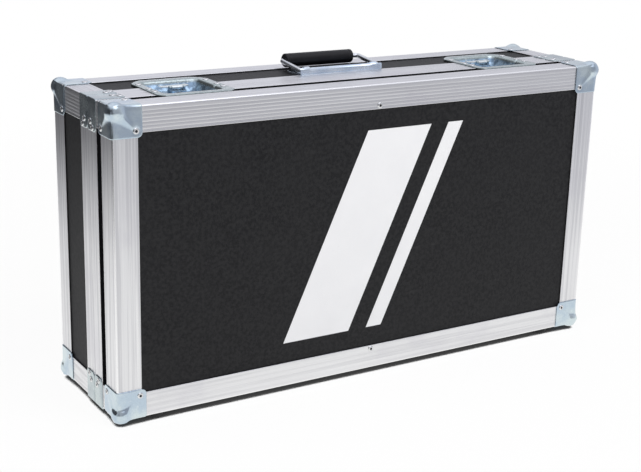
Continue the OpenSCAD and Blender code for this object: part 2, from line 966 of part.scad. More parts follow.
// Riveted plate with an arched saddle that holds both ends of the wire. Its front wall goes
// on past the notches that the arms swing in.
module handle_plate() {
  arm_room = handle_plate_l / 2 - tube_half_l + cut;
  color(zinc)
    less_base_rivets()
      at_handle()
        difference() {
          union() {
            translate([-handle_plate_l / 2, handle_plate_y, 0])
              cube([handle_plate_l, handle_plate_w, sheet_t]);
            translate([-handle_plate_l / 2, closure_leg, -ext_t])
              cube([
                handle_plate_l,
                handle_plate_y + handle_plate_w - closure_leg,
                ext_t
              ]);
            translate([-handle_plate_l / 2, handle_pivot_y - tube_r, 0])
              cube([handle_plate_l, 2 * tube_r, pivot_z]);
            translate([-handle_plate_l / 2, handle_pivot_y, pivot_z])
              rotate([0, 90, 0]) cylinder(h = handle_plate_l, r = tube_r);
          }
          translate([-tube_half_l - cut, handle_pivot_y, pivot_z])
            rotate([0, 90, 0])
              cylinder(h = 2 * (tube_half_l + cut), r = wire_r + tube_gap);
          for (side = [-1, 1])
            translate([
              side > 0 ? tube_half_l : -tube_half_l - arm_room,
              handle_pivot_y - wire_r - arm_notch_gap,
              sheet_t
            ])
              cube([arm_room, 3 * tube_r, 2 * tube_r]);
        }
}

// Wire bail, lying back on the case
module handle_bail() {
  arm_x = bail_w / 2;
  color(steel)
    at_handle()
      translate([0, handle_pivot_y, pivot_z])
        rotate([handle_lean, 0, 0])
          union() {
            for (side = [-1, 1]) {
              translate([side * arm_x, 0, 0]) sphere(wire_r);
              translate([side * arm_x, handle_arm, 0]) sphere(wire_r);
              translate([side * arm_x, 0, 0])
                rotate([-90, 0, 0]) cylinder(h = handle_arm, r = wire_r);
              translate([side * arm_x, 0, 0])
                rotate([0, -90 * side, 0])
                  cylinder(h = wire_r + arm_gap + pivot_pin_l, r = wire_r);
            }
            translate([-arm_x, handle_arm, 0])
              rotate([0, 90, 0]) cylinder(h = bail_w, r = wire_r);
          }
}

module handle_grip() {
  end = 1.5;
  color(rubber)
    at_handle()
      translate([0, handle_pivot_y, pivot_z])
        rotate([handle_lean, 0, 0])
          translate([-grip_aside - grip_l / 2, handle_arm, 0])
            rotate([0, 90, 0])
              difference() {
                union() {
                  cylinder(h = end, r1 = grip_r - end, r2 = grip_r);
                  translate([0, 0, end]) cylinder(h = grip_l - 2 * end, r = grip_r);
                  translate([0, 0, grip_l - end])
                    cylinder(h = end, r1 = grip_r, r2 = grip_r - end);
                }
                translate([0, 0, -cut])
                  cylinder(h = grip_l + 2 * cut, r = wire_r + grip_gap);
              }
}

// ---- Hinges: local frame at the middle of a hinge, on the joint and on the bottom ----

module at_hinges() {
  for (s = [-1, 1])
    translate([s * hinge_x, y_joint, z_bottom]) children();
}

module hinge_barrel(from, length) {
  translate([from, 0, -hinge_axis])
    rotate([0, 90, 0]) cylinder(h = length, r = barrel_r);
}

module hinge_bore() {
  translate([-hinge_l, 0, -hinge_axis])
    rotate([0, 90, 0]) cylinder(h = 2 * hinge_l, r = hinge_pin_r + hinge_pin_gap);
}

// Leaf under the base, with the two outer knuckles
module base_hinge_leaves() {
  outer = knuckle - knuckle_gap / 2;
  color(steel)
    less_base_rivets()
      at_hinges()
        difference() {
          union() {
            translate([-hinge_l / 2, leaf_clear, -leaf_t])
              cube([hinge_l, leaf_l - leaf_clear, leaf_t]);
            for (from = [-hinge_l / 2, hinge_l / 2 - outer]) {
              translate([from, 0, -leaf_t]) cube([outer, leaf_clear + cut, leaf_t]);
              hinge_barrel(from, outer);
            }
          }
          hinge_bore();
        }
}

// Leaf under the lid, with the middle knuckle
module lid_hinge_leaves() {
  middle = knuckle - knuckle_gap;
  color(steel)
    less_lid_rivets()
      at_hinges()
        difference() {
          union() {
            translate([-hinge_l / 2, -leaf_l, -leaf_t])
              cube([hinge_l, leaf_l - leaf_clear, leaf_t]);
            translate([-middle / 2, -leaf_clear - cut, -leaf_t])
              cube([middle, leaf_clear + cut, leaf_t]);
            hinge_barrel(-middle / 2, middle);
          }
          hinge_bore();
        }
}

module hinge_pins() {
  color(steel)
    at_hinges()
      translate([-hinge_l / 2, 0, -hinge_axis])
        rotate([0, 90, 0]) cylinder(h = hinge_l, r = hinge_pin_r);
}

// ---- Painted front ----

module slanted_band(from, width) {
  lean = band_h * tan(band_slant);
  polygon([
    [from - lean / 2, -band_h / 2], [from + width - lean / 2, -band_h / 2],
    [from + width + lean / 2, band_h / 2], [from + lean / 2, band_h / 2]
  ]);
}

module front_bands() {
  total = band_w + band_gap + thin_band_w;
  color(white)
    translate([0, y_front + ext_t, z_mid])
      rotate([90, 0, 0])
        linear_extrude(decal_t) {
          slanted_band(-total / 2, band_w);
          slanted_band(total / 2 - thin_band_w, thin_band_w);
        }
}

lid_panel();
lid_top_wall();
lid_bottom_wall();
lid_left_wall();
lid_right_wall();
lid_frame_top();
lid_frame_bottom();
lid_frame_left();
lid_frame_right();
lid_closure_top();
lid_closure_bottom();
lid_closure_left();
lid_closure_right();
lid_edge_angles();
lid_ball_corners();
lid_corner_braces();
lid_rivets();
lid_feet();
lid_foam_pad();
lid_foam_walls();
left_keeper();
right_keeper();
lid_hinge_leaves();
front_bands();
back_panel();
base_top_wall();
base_bottom_wall();
base_left_wall();
base_right_wall();
rear_frame_top();
rear_frame_bottom();
rear_frame_left();
rear_frame_right();
base_closure_top();
base_closure_bottom();
base_closure_left();
base_closure_right();
base_edge_angles();
base_ball_corners();
base_corner_braces();
base_rivets();
base_feet();
base_foam_pad();
base_foam_walls();
left_latch_dish();
right_latch_dish();
base_hinge_leaves();
hinge_pins();
handle_plate();
handle_bail();
handle_grip();
left_latch_rotor();
left_latch_wing();
left_latch_hook();
right_latch_rotor();
right_latch_wing();
right_latch_hook();
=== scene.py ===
import math

import bmesh
import bpy
import numpy as np
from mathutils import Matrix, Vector


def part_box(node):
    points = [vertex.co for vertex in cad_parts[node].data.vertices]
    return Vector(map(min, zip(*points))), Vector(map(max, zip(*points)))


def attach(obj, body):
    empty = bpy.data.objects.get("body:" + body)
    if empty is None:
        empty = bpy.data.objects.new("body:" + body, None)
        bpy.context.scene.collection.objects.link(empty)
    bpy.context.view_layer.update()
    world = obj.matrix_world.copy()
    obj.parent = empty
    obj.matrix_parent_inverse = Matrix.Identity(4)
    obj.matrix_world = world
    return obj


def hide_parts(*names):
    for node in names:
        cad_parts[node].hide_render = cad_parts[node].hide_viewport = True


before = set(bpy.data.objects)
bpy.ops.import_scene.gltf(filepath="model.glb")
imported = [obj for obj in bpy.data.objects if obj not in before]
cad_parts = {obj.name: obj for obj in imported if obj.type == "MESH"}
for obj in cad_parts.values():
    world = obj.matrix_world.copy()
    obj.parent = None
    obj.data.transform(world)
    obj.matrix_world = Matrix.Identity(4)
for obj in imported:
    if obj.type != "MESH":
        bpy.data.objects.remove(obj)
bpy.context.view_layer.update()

# ---- The studio ----
# A white table in a white room, with one large soft lamp to the right of the camera and a
# weaker one to its left. What metal mirrors is worked out apart, in room_level, with a
# dark wall on the left.


class Signal:
    """One output of a shader node. Sums, differences and products of signals and numbers
    add Math nodes."""

    def __init__(self, tree, socket=None):
        self.tree, self.socket = tree, socket

    def node(self, kind, settings=(), values=(), output=0):
        """Adds a node, sets what it does, then links or fills in its sockets."""
        made = self.tree.nodes.new(kind)
        for name, value in dict(settings).items():
            setattr(made, name, value)
        for name, value in dict(values).items():
            if isinstance(value, Signal):
                self.tree.links.new(value.socket, made.inputs[name])
            else:
                made.inputs[name].default_value = value
        return Signal(self.tree, made.outputs[output])

    def math(self, operation, first, second=0.0):
        return self.node(
            "ShaderNodeMath", {"operation": operation}, {0: first, 1: second}
        )

    def __add__(self, other):
        return self.math("ADD", self, other)

    def __sub__(self, other):
        return self.math("SUBTRACT", self, other)

    def __rsub__(self, other):
        return self.math("SUBTRACT", other, self)

    def __mul__(self, other):
        return self.math("MULTIPLY", self, other)

    __radd__, __rmul__ = __add__, __mul__

    def between(self, low, high):
        """0 below low, 1 above high, and smooth in between."""
        return self.node(
            "ShaderNodeMapRange",
            {"interpolation_type": "SMOOTHSTEP"},
            {"Value": self, "From Min": low, "From Max": high},
        )

    def mix(self, first, second):
        """The first colour where this signal is 0, the second where it is 1."""
        return self.node(
            "ShaderNodeMix", {"data_type": "RGBA"}, {0: self, 6: first, 7: second}, 2
        )

    def along(self, vector):
        """This vector's dot product with another."""
        return self.node(
            "ShaderNodeVectorMath",
            {"operation": "DOT_PRODUCT"},
            {0: self, 1: vector},
            "Value",
        )

    def noise(self, scale, detail=2.0, stretch=(1, 1, 1), kind="ShaderNodeTexNoise"):
        """Noise at this place, drawn out along an axis where its stretch is below 1."""
        place = self.node(
            "ShaderNodeVectorMath", {"operation": "MULTIPLY"}, {0: self, 1: stretch}
        )
        values = {"Vector": place, "Scale": scale, "Detail": detail}
        return self.node(kind, {}, values)


def rgb(red, green, blue):
    return (red, green, blue, 1.0)


add_to_scene = bpy.context.scene.collection.objects.link
# The camera is solved from the straight edges of the case in the photograph.
camera = bpy.data.objects.new("camera", bpy.data.cameras.new("camera"))
camera.location = (-0.8574236, -1.3396541, 0.6425079)
camera.rotation_euler = np.radians((72.98189, -1.46508, -31.39471))
camera.data.lens, camera.data.sensor_width = 73.17, 36
add_to_scene(camera)
bpy.context.scene.camera = camera
bpy.context.scene.view_settings.view_transform = "Standard"


def room_level(direction):
    """How bright the room is in a direction, as metal mirrors it: 0.5 behind the camera,
    0.76 behind the case and a little more straight back, full overhead, a dark wall low
    on the left, and a soft box high up in front of the case."""
    up = direction.along((0, 0, 1))
    level = 0.5 + 0.26 * direction.along((0.54, 0.84, 0)).between(-0.6, 0.3)
    level = level + 0.13 * direction.along((-0.3, 0.95, 0)).between(0.53, 0.7)
    level = level + (1 - level) * up.between(0.45, 0.85)
    dark_wall = direction.along((-0.94, 0.34, 0)).between(0.05, 0.45)
    level = level * (1 - 0.9 * dark_wall * (1 - up.between(0.35, 0.8)))
    return level + 1.1 * direction.along((0.08, -0.46, 0.885)).between(0.85, 0.95)


def ray_kind(tree, *kinds):
    """1 for rays of these kinds and 0 for others."""
    return sum(Signal(tree).node("ShaderNodeLightPath", output=kind) for kind in kinds)


room = bpy.data.worlds.new("room")
room.use_nodes = True
room.node_tree.nodes.clear()
seen = ray_kind(room.node_tree, "Is Camera Ray", "Is Transmission Ray")
mirrored = ray_kind(room.node_tree, "Is Glossy Ray")
direction = Signal(room.node_tree).node("ShaderNodeTexCoord", output="Generated")
plain_level = 0.62
level = plain_level + mirrored * (room_level(direction) - plain_level)
level = seen + (1 - seen) * level
cool, white = rgb(0.91, 0.92, 1.0), rgb(1.0, 1.0, 1.0)
light = level.node(
    "ShaderNodeBackground", {}, {"Color": mirrored.mix(white, cool), "Strength": level}
)
world_end = room.node_tree.nodes.new("ShaderNodeOutputWorld")
room.node_tree.links.new(light.socket, world_end.inputs["Surface"])
bpy.context.scene.world = room

lamp_target = Vector((0, 0, 0.2))
for name, place, width, power in (
    ("big_lamp", (0.9, -2.1, 2.3), 2.2, 42),
    ("small_lamp", (-2.2, -0.9, 1.5), 1.2, 12),
):
    data = bpy.data.lights.new(name, "AREA")
    data.size, data.energy = width, power
    lamp = bpy.data.objects.new(name, data)
    lamp.location = place
    towards = lamp_target - Vector(place)
    lamp.rotation_euler = towards.to_track_quat("-Z", "Y").to_euler()
    lamp.visible_glossy = False
    add_to_scene(lamp)


def new_finish(name):
    """A new material, and the place on the object as its first signal."""
    made = bpy.data.materials.new(name)
    made.use_nodes = True
    made.node_tree.nodes.clear()
    place = Signal(made.node_tree).node("ShaderNodeTexCoord", output="Object")
    return made, place


def end_finish(place, surface):
    """Links a finished surface to the material's output."""
    end = place.tree.nodes.new("ShaderNodeOutputMaterial")
    place.tree.links.new(surface.socket, end.inputs["Surface"])


table_top, place = new_finish("white_table")
# Painted shadow: the table's own colour turns from white to near black where ambient
# occlusion finds the case close above it.
open_sky = place.node("ShaderNodeAmbientOcclusion", {"samples": 24}, {"Distance": 0.03}, "AO")
lit = open_sky.between(0.36, 0.46)
plain = place.node(
    "ShaderNodeBsdfDiffuse",
    {},
    {"Color": lit.mix(rgb(0.08, 0.08, 0.08), rgb(0.93, 0.93, 0.93)), "Roughness": 0.5},
)
away = place.node("ShaderNodeVectorMath", {"operation": "LENGTH"}, {0: place}, "Value")
heading = place.node("ShaderNodeVectorMath", {"operation": "NORMALIZE"}, {0: place})
far = away.between(0.8, 1.65)
table_level = 1 + (room_level(heading) - 1) * far
glow = place.node(
    "ShaderNodeEmission", {}, {"Color": far.mix(white, cool), "Strength": table_level}
)
mirrored = ray_kind(place.tree, "Is Glossy Ray")
surface = place.node("ShaderNodeMixShader", {}, {"Fac": mirrored, 1: plain, 2: glow})
# The opened lid swings below the table's top, so the table is clear where it has no shadow.
clear = place.node("ShaderNodeBsdfTransparent")
seen = ray_kind(place.tree, "Is Camera Ray", "Is Transmission Ray", "Is Shadow Ray")
share = seen * lit * (0.93 + 0.07 * far)
end_finish(
    place, place.node("ShaderNodeMixShader", {}, {"Fac": share, 1: surface, 2: clear})
)
table_mesh = bpy.data.meshes.new("table")
reach = 12.0
table_mesh.from_pydata(
    [(-reach, -reach, 0), (reach, -reach, 0), (reach, reach, 0), (-reach, reach, 0)],
    [],
    [(0, 1, 2, 3)],
)
table_mesh.materials.append(table_top)
table = bpy.data.objects.new("table", table_mesh)
add_to_scene(table)

# ---- Boards ----
# Ten boards of plywood with a black, finely pebbled laminate on both faces. They are glued
# and riveted into the aluminium edges, so that no cut edge shows.


def painted(place, bump_height, bump_depth, **values):
    """Ends a material with one Principled surface. Sockets are named with _ for blanks."""
    values = {name.replace("_", " "): value for name, value in values.items()}
    values["Normal"] = place.node(
        "ShaderNodeBump",
        {},
        {"Strength": 1.0, "Distance": bump_depth, "Height": bump_height},
    )
    end_finish(place, place.node("ShaderNodeBsdfPrincipled", {}, values))


laminate, place = new_finish("black_laminate")
pebbles = place.noise(760, 3.0)
patches = place.noise(14, 3.0)
scuffs = place.noise(60, 4.0, (0.15, 1, 1)).between(0.66, 0.78)
black = patches.between(0.3, 0.7).mix(rgb(0.003, 0.003, 0.004), rgb(0.007, 0.007, 0.008))
mottle = place.noise(230, 4.0).between(0.36, 0.64)
black = (mottle * 0.7).mix(black, rgb(0.017, 0.017, 0.018))
black = (pebbles.between(0.45, 0.75) * 0.5).mix(black, rgb(0.022, 0.022, 0.024))
painted(
    place,
    pebbles,
    0.00022,
    Base_Color=(scuffs * 0.3).mix(black, rgb(0.055, 0.054, 0.054)),
    Roughness=0.5 + patches * 0.14 - scuffs * 0.08,
    Specular_IOR_Level=0.25,
)
# Painted shade: the lid's walls show only in the seam between the closures, so they get a
# darker copy of the laminate with no specular reflection, to make that gap dark.
seam_shade_laminate, place = new_finish("seam_shade_laminate")
pebbles = place.noise(760, 3.0)
painted(
    place,
    pebbles,
    0.0003,
    Base_Color=pebbles.between(0.4, 0.7).mix(
        rgb(0.004, 0.004, 0.005), rgb(0.009, 0.009, 0.010)
    ),
    Roughness=0.72 + 0.12 * pebbles,
    Specular_IOR_Level=0.0,
)


def cover(finish, *nodes):
    """Gives CAD nodes another material in place of their own."""
    for name in nodes:
        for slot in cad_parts[name].material_slots:
            slot.material = finish


four_walls = ("top_wall", "bottom_wall", "left_wall", "right_wall")
cover(laminate, "lid_panel", "back_panel", *(f"base_{name}" for name in four_walls))
cover(seam_shade_laminate, *(f"lid_{name}" for name in four_walls))

# ---- Painted bands ----
# A broad and a narrow slanted band of white screen ink on the front board, rolled on in
# one coat, so that the pebbles of the laminate still show in it.

ink, place = new_finish("white_ink")
grain = place.noise(760, 3.0)
thin_spots = place.noise(240, 5.0).between(0.68, 0.8)
coat = place.noise(30, 2.0).mix(rgb(0.80, 0.80, 0.82), rgb(0.86, 0.86, 0.875))
painted(
    place,
    grain,
    0.00015,
    Base_Color=(thin_spots * 0.35).mix(coat, rgb(0.42, 0.42, 0.43)),
    Roughness=0.46 + grain * 0.12,
    Specular_IOR_Level=0.4,
)
cover(ink, "front_bands")

# ---- Aluminium angles ----
# Extruded angles with fine ribs along both legs, mitred at the corners, all round the front
# and the rear, and short pieces of the same angle along the four edges between them.

weld = 2e-6
crease = 32.0


def grid_faces(rows, columns, closed_rows=False, closed_columns=False):
    """Quads of a grid of points: each point with its next row and next column, and the
    last with the first again where the grid is closed."""
    i, j = np.meshgrid(
        np.arange(rows - (not closed_rows)),
        np.arange(columns - (not closed_columns)),
        indexing="ij",
    )
    next_i, next_j = (i + 1) % rows, (j + 1) % columns
    corners = [
        i * columns + j,
        next_i * columns + j,
        next_i * columns + next_j,
        i * columns + next_j,
    ]
    return np.stack(corners, -1).reshape(-1, 4)


def loft(sections):
    """Sections of n points each, (m, n, 3), joined all round from one to the next, with a
    flat cap on the first and on the last."""
    m, n = sections.shape[:2]
    first = np.arange(n)[None, :]
    last = (m - 1) * n + np.arange(n)[None, ::-1]
    return sections.reshape(-1, 3), [grid_faces(m, n, False, True), first, last]


def facing(part, direction):
    """An open sheet, turned over if the sum of its faces' area vectors points away from a
    direction. The area vector of a quad is half the cross product of its diagonals."""
    points, (quads,) = part
    corner = points[quads]
    area = np.cross(corner[:, 2] - corner[:, 0], corner[:, 3] - corner[:, 1]).sum(0)
    return points, [quads if area @ np.array(direction) > 0 else quads[:, ::-1]]


def set_down(name, mesh, body, finish, nodes, sharp):
    """A mesh shaded smooth between its sharp edges, as a piece that rides on a body and
    stands for CAD nodes."""
    mesh.materials.clear()
    mesh.materials.append(finish)
    mesh.shade_smooth()
    mesh.set_sharp_from_angle(angle=math.radians(sharp))
    piece = bpy.data.objects.new(name, mesh)
    add_to_scene(piece)
    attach(piece, body)
    if nodes:
        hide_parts(*nodes)
    return piece


def make_piece(name, parts, body, slot, finish, *nodes, sheet=0.0, sharp=crease):
    """One welded mesh in metres out of parts in millimetres, each (points, blocks of
    faces). Closed parts get their normals recalculated. An open sheet gets a thickness
    behind its face."""
    points, faces, count = [], [], 0
    for part_points, blocks in parts:
        points.append(part_points)
        for block in blocks:
            faces += (block + count).tolist()
        count += len(part_points)
    mesh = bpy.data.meshes.new(name)
    mesh.from_pydata((np.concatenate(points) / 1000).tolist(), [], faces)
    welded = bmesh.new()
    welded.from_mesh(mesh)
    bmesh.ops.remove_doubles(welded, verts=welded.verts, dist=weld)
    if not sheet:
        bmesh.ops.recalc_face_normals(welded, faces=welded.faces)
    welded.to_mesh(mesh)
    welded.free()
    piece = set_down(name, mesh, body, finish, nodes, sharp)
    if sheet:
        behind = piece.modifiers.new("wall", "SOLIDIFY")
        behind.thickness, behind.offset = sheet / 1000, -1
    return piece


x_side, y_back, z_top = (1000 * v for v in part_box("rear_frame_top")[1])
_, y_front, z_bottom = (1000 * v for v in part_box("lid_frame_bottom")[0])
y_joint = 1000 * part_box("lid_closure_left")[1].y
z_mid = (z_top + z_bottom) / 2
half_height = (z_top - z_bottom) / 2
wall = 1.6
angle_leg = 30.0


def on_side(side, along, y, depth):
    """Points on one of the four sides of the case: a distance along it from its middle,
    a y, and a depth below its outer face."""
    along, y, depth = np.broadcast_arrays(along, y, depth)
    x, z = {
        "top": (along, z_top - depth),
        "bottom": (along, z_bottom + depth),
        "right": (x_side - depth, z_mid + along),
        "left": (depth - x_side, z_mid + along),
    }[side]
    return np.stack([x, y, z], -1)


def mitred_bar(side, outline, y_edge, inwards, spans=((-1e3, 1e3),)):
    """An outline of (distance from the edge, depth) carried along a side. It ends on a
    mitre, at half the side's length less the depth, or where its span ends sooner."""
    half = x_side if side in ("top", "bottom") else half_height
    limit = half - outline[:, 1]
    y = y_edge + inwards * outline[:, 0]
    stations = [np.clip(np.array(span)[:, None], -limit, limit) for span in spans]
    return [loft(on_side(side, along, y, outline[:, 1])) for along in stations]


def ribbed_leg(leg):
    """The outer face of a leg from its tip to the edge: a raised, rounded bead along the
    tip, then a groove every 4 mm. Columns are the distance from the edge and the depth."""
    bead = [
        [leg, wall], [leg, 0.15], [leg - 0.2, -0.12], [leg - 0.7, -0.28],
        [leg - 1.3, -0.28], [leg - 1.8, -0.12], [leg - 2.1, 0.0],
    ]
    grooves = np.arange(6.0, leg - 2.6 + 1e-6, 4.0)[::-1, None, None]
    groove = np.array([
        [1.3, 0.0], [0.95, 0.05], [0.65, 0.1], [0.35, 0.1], [0.05, 0.05], [-0.3, 0.0]
    ])
    ribs = groove + np.concatenate([grooves, 0 * grooves], -1)
    return np.concatenate([bead, ribs.reshape(-1, 2)])


turn = np.radians(np.linspace(0, 90, 6))[:, None]
edge_arc = 2.0 - 2.0 * np.concatenate([np.sin(turn), np.cos(turn)], 1)
leg_outline = ribbed_leg(angle_leg)
angle_outline = np.concatenate(
    [leg_outline, edge_arc, leg_outline[::-1, ::-1], [[wall, wall]]]
)


def below_faces(place):
    """How far a place is below the nearest outer face of the case and below the second
    nearest, in millimetres."""

    def least(first, second):
        return place.math("MINIMUM", first, second)

    def most(first, second):
        return place.math("MAXIMUM", first, second)

    x, y, z = (1000 * place.along(axis) for axis in np.eye(3).tolist())
    beside = x_side - place.math("ABSOLUTE", x)
    above = half_height - place.math("ABSOLUTE", z - z_mid)
    before = least(y - y_front, y_back - y)
    nearest = least(least(beside, above), before)
    second = least(least(most(beside, above), most(above, before)), most(beside, before))
    return nearest, second


def aluminium(name, stretch, streaks, depth):
    """Mill finish along one axis: long drawn lines of slightly different grey and gloss,
    broader dark streaks, smudges of oxide, fine scratches, a painted shade, nearly black,
    on the surfaces from 0.2 to 0.8 mm below the outer faces, in the steps at the seams,
    and a painted highlight on the angles' own rounded edges, which are also glossier there."""
    made, place = new_finish(name)
    lines = place.noise(700, 3.0, stretch)
    broad = place.noise(300, 2.0, stretch)
    smudges = place.noise(16, 4.0)
    scratches = place.noise(420, 5.0, stretch).between(0.62, 0.72)
    grey = lines.mix(rgb(0.73, 0.73, 0.74), rgb(0.85, 0.85, 0.86))
    grey = (broad.between(0.45, 0.6) * streaks).mix(grey, rgb(0.36, 0.36, 0.39))
    grey = (smudges.between(0.52, 0.72) * 0.4).mix(grey, rgb(0.66, 0.65, 0.69))
    grey = (scratches * 0.35).mix(grey, rgb(0.92, 0.92, 0.92))
    nearest, second = below_faces(place)
    # Painted highlight: lighter, and glossier, where a place is within about 2 mm of two
    # outer faces, on the angles' rounded edges.
    edge_highlight = 1 - second.between(1.2, 2.4)
    grey = (edge_highlight * 0.8).mix(grey, rgb(0.97, 0.97, 0.97))
    # Painted shade: nearly black in the steps from 0.2 to 0.8 mm below the outer faces, at
    # the seams.
    step_shade = nearest.between(0.2, 0.8) * (1 - edge_highlight)
    grey = (step_shade * 0.94).mix(grey, rgb(0.02, 0.02, 0.022))
    painted(
        place,
        lines + 0.6 * broad,
        depth,
        Base_Color=grey,
        Metallic=1.0,
        Roughness=0.24 + 0.12 * smudges + 0.1 * broad - 0.06 * scratches - 0.12 * edge_highlight,
    )
    return made


along_x = aluminium("aluminium_along_x", (0.012, 1, 1), 0.16, 0.00006)
along_y = aluminium("aluminium_along_y", (1, 0.03, 1), 0.3, 0.00008)
along_z = aluminium("aluminium_along_z", (1, 1, 0.012), 0.32, 0.00016)
finish_of_side = {"top": along_x, "bottom": along_x, "left": along_z, "right": along_z}

for side, finish in finish_of_side.items():
    for name, node, half, y, inwards in (
        ("front_angle", "lid_frame", "lid", y_front, 1),
        ("rear_angle", "rear_frame", "base", y_back, -1),
    ):
        parts = mitred_bar(side, angle_outline, y, inwards)
        make_piece(f"{name}_{side}", parts, half, "aluminium", finish, f"{node}_{side}")

for half in ("lid", "base"):
    node = f"{half}_edge_angles"
    y = 1000 * np.array([[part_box(node)[0].y], [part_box(node)[1].y]])
    parts = []
    for side, sign in (("top", -1), ("top", 1), ("bottom", -1), ("bottom", 1)):
        x = sign * (x_side - angle_outline[:, 0])
        parts.append(loft(on_side(side, x, y, angle_outline[:, 1])))
    name = f"{half}_short_angles"
    make_piece(name, parts, half, "aluminium", along_y, node)

# ---- Closures ----
# Two channel extrusions over the edges of the boards at the joint: the base's has a tongue
# and the lid's a groove that takes it. At the top both are cut out for the latch recesses.

closure_leg = 22.5
latch_x = 221.5
recess_half = 37.6
inner_leg = 14.0
inner_face = wall + 7.0
inner_back = inner_face + wall
closure_face = np.concatenate([ribbed_leg(closure_leg), [[0.45, 0.0], [0.12, 0.12]]])
base_outline = np.concatenate([
    closure_face,
    [
        [0, 0.45], [0, 4.1], [-2.7, 4.1], [-3, 4.4], [-3, 5.8], [-2.7, 6.1], [0, 6.1],
        [0, inner_back], [inner_leg, inner_back], [inner_leg, inner_face],
        [wall, inner_face], [wall, wall],
    ],
])
lid_outline = np.concatenate([
    closure_face,
    [
        [0, 0.45], [0, 3.3], [3.8, 3.3], [3.8, 6.9], [0, 6.9],
        [0, inner_back], [inner_leg, inner_back], [inner_leg, inner_face],
        [5.4, inner_face], [5.4, wall],
    ],
])
cut_spans = (
    (-1e3, -latch_x - recess_half),
    (recess_half - latch_x, latch_x - recess_half),
    (latch_x + recess_half, 1e3),
)
for side, finish in finish_of_side.items():
    spans = cut_spans if side == "top" else ((-1e3, 1e3),)
    for half, outline, inwards in (("lid", lid_outline, -1), ("base", base_outline, 1)):
        parts = mitred_bar(side, outline, y_joint, inwards, spans)
        name = f"{half}_closure_bar_{side}"
        make_piece(name, parts, half, "aluminium", finish, f"{half}_closure_{side}")

# ---- Ball corners ----
# Corners pressed from zinc-plated sheet: a ball over the corner of the case, and three
# petals with a pressed ridge from the ball to the rivet. One rivet holds each petal.

sheet = 1.3
petal = 35.0
petal_rivet = 27.5
ball_radius, ball_depth = 10.6, 6.0
corner_signs = ((-1, -1), (1, -1), (-1, 1), (1, 1))


def pressed_corner():
    """Three faces of a corner, (face, a, b, axis), in depths below the case's faces, worked
    out from the ball's centre. Outward parts are divided by the cube root of the sum of
    their cubes, each over the largest possible, which rounds the edges. Then a point
    moves out to the smooth maximum of its distance and the ball's radius, wider by up to
    6 percent in a keel along each edge."""
    along = np.concatenate(
        [np.linspace(-sheet, 20, 32), np.linspace(20.9, 34, 15), [34.4, 34.75, petal]]
    )
    a, b = np.meshgrid(along, along, indexing="ij")
    edge = np.clip((np.maximum(a, b) - petal + 0.9) / 0.9, 0, 1)
    middle = (a + b) / 2
    taper = np.clip((25.5 - middle) / 14, 0, 1)
    ridge = np.exp(-(((a - b) / (2.2 + 3.4 * taper)) ** 2)) * taper
    ridge = 1.3 * ridge * np.clip((middle - 7) / 5, 0, 1)
    from_rivet = np.hypot(a - petal_rivet, b - petal_rivet)
    lift = ridge - 0.3 * np.exp(-((from_rivet / 4.3) ** 4)) - 0.4 * edge**2
    tip = 6.0
    in_a, in_b = (np.clip((v - petal + tip) / tip, 0, 1) for v in (a, b))
    a = np.minimum(a, petal - tip) + tip * in_a * np.sqrt(1 - in_b**2 / 2)
    b = np.minimum(b, petal - tip) + tip * in_b * np.sqrt(1 - in_a**2 / 2)
    faces = []
    for axis in range(3):
        point = np.stack([np.full_like(a, -sheet), a, b], -1)
        point = np.roll(point, axis, -1) - ball_depth
        outward = (np.maximum(-point, 0) / (ball_depth + sheet)) ** 3
        rounding = outward.sum(-1, keepdims=True) ** (1 / 3)
        point = np.where(point < 0, point / rounding, point)
        shell = np.linalg.norm(point, axis=-1)
        ray = point / shell[..., None]
        gap = shell - ball_radius
        radius = (shell + ball_radius + np.sqrt(gap**2 + 2.6)) / 2
        largest = np.sort(np.maximum(-ray, 1e-3), -1)
        keel = (largest[..., 1] / largest[..., 2]) ** 6 * np.clip((26 - radius) / 14, 0, 1)
        radius = radius * (1 + 0.06 * keel * (1 - largest[..., 0] / largest[..., 2]) ** 2)
        point = ball_depth + ray * radius[..., None]
        point[..., axis] -= lift
        faces.append(point)
    return np.array(faces)


def at_vertex(points, sign_x, y_face, sign_y, sign_z):
    """Depths below the three faces at a corner of the case, as places on the case."""
    corner = np.array([sign_x * x_side, y_face, z_mid + sign_z * half_height])
    return corner - points * np.array([sign_x, sign_y, sign_z])


def zinc(name, first, second, gloss):
    """Blue-passivated zinc: patches of two tints, crystals of slightly different gloss,
    and rubbed spots."""
    made, place = new_finish(name)
    patches = place.noise(42, 4.0).between(0.36, 0.64)
    crystals = place.noise(520, 0.0, kind="ShaderNodeTexVoronoi")
    wear = place.noise(150, 5.0).between(0.6, 0.76)
    tint = patches.mix(first, second)
    tint = (crystals.between(0.1, 0.9) * 0.12).mix(tint, rgb(0.40, 0.46, 0.53))
    painted(
        place,
        crystals + place.noise(900, 2.0),
        0.000015,
        Base_Color=(wear * 0.35).mix(tint, rgb(0.80, 0.83, 0.85)),
        Metallic=1.0,
        Roughness=gloss + 0.07 * patches + 0.05 * crystals - 0.03 * wear,
    )
    return made


corner_zinc = zinc("corner_zinc", rgb(0.50, 0.60, 0.69), rgb(0.66, 0.75, 0.77), 0.13)
faces = pressed_corner()
count = faces.shape[1]
for half, y_face, sign_y in (("lid", y_front, -1), ("base", y_back, 1)):
    parts = []
    for sign_x, sign_z in corner_signs:
        signs = (sign_x, sign_y, sign_z)
        for axis in range(3):
            points = at_vertex(faces[axis], sign_x, y_face, sign_y, sign_z)
            part = points.reshape(-1, 3), [grid_faces(count, count)]
            parts.append(facing(part, np.eye(3)[axis] * signs[axis]))
    make_piece(
        f"{half}_pressed_corners", parts, half, "zinc", corner_zinc,
        f"{half}_ball_corners", sheet=sheet, sharp=60,
    )

# ---- Braces beside the joint ----
# Straps of zinc-plated sheet bent over the edges beside the joint, one on each closure, with
# rounded tips and two rivets in each leg.

brace_leg = 36.0
brace_width = closure_leg - 0.5
brace_tip = 5.0
brace_bend = 1.9


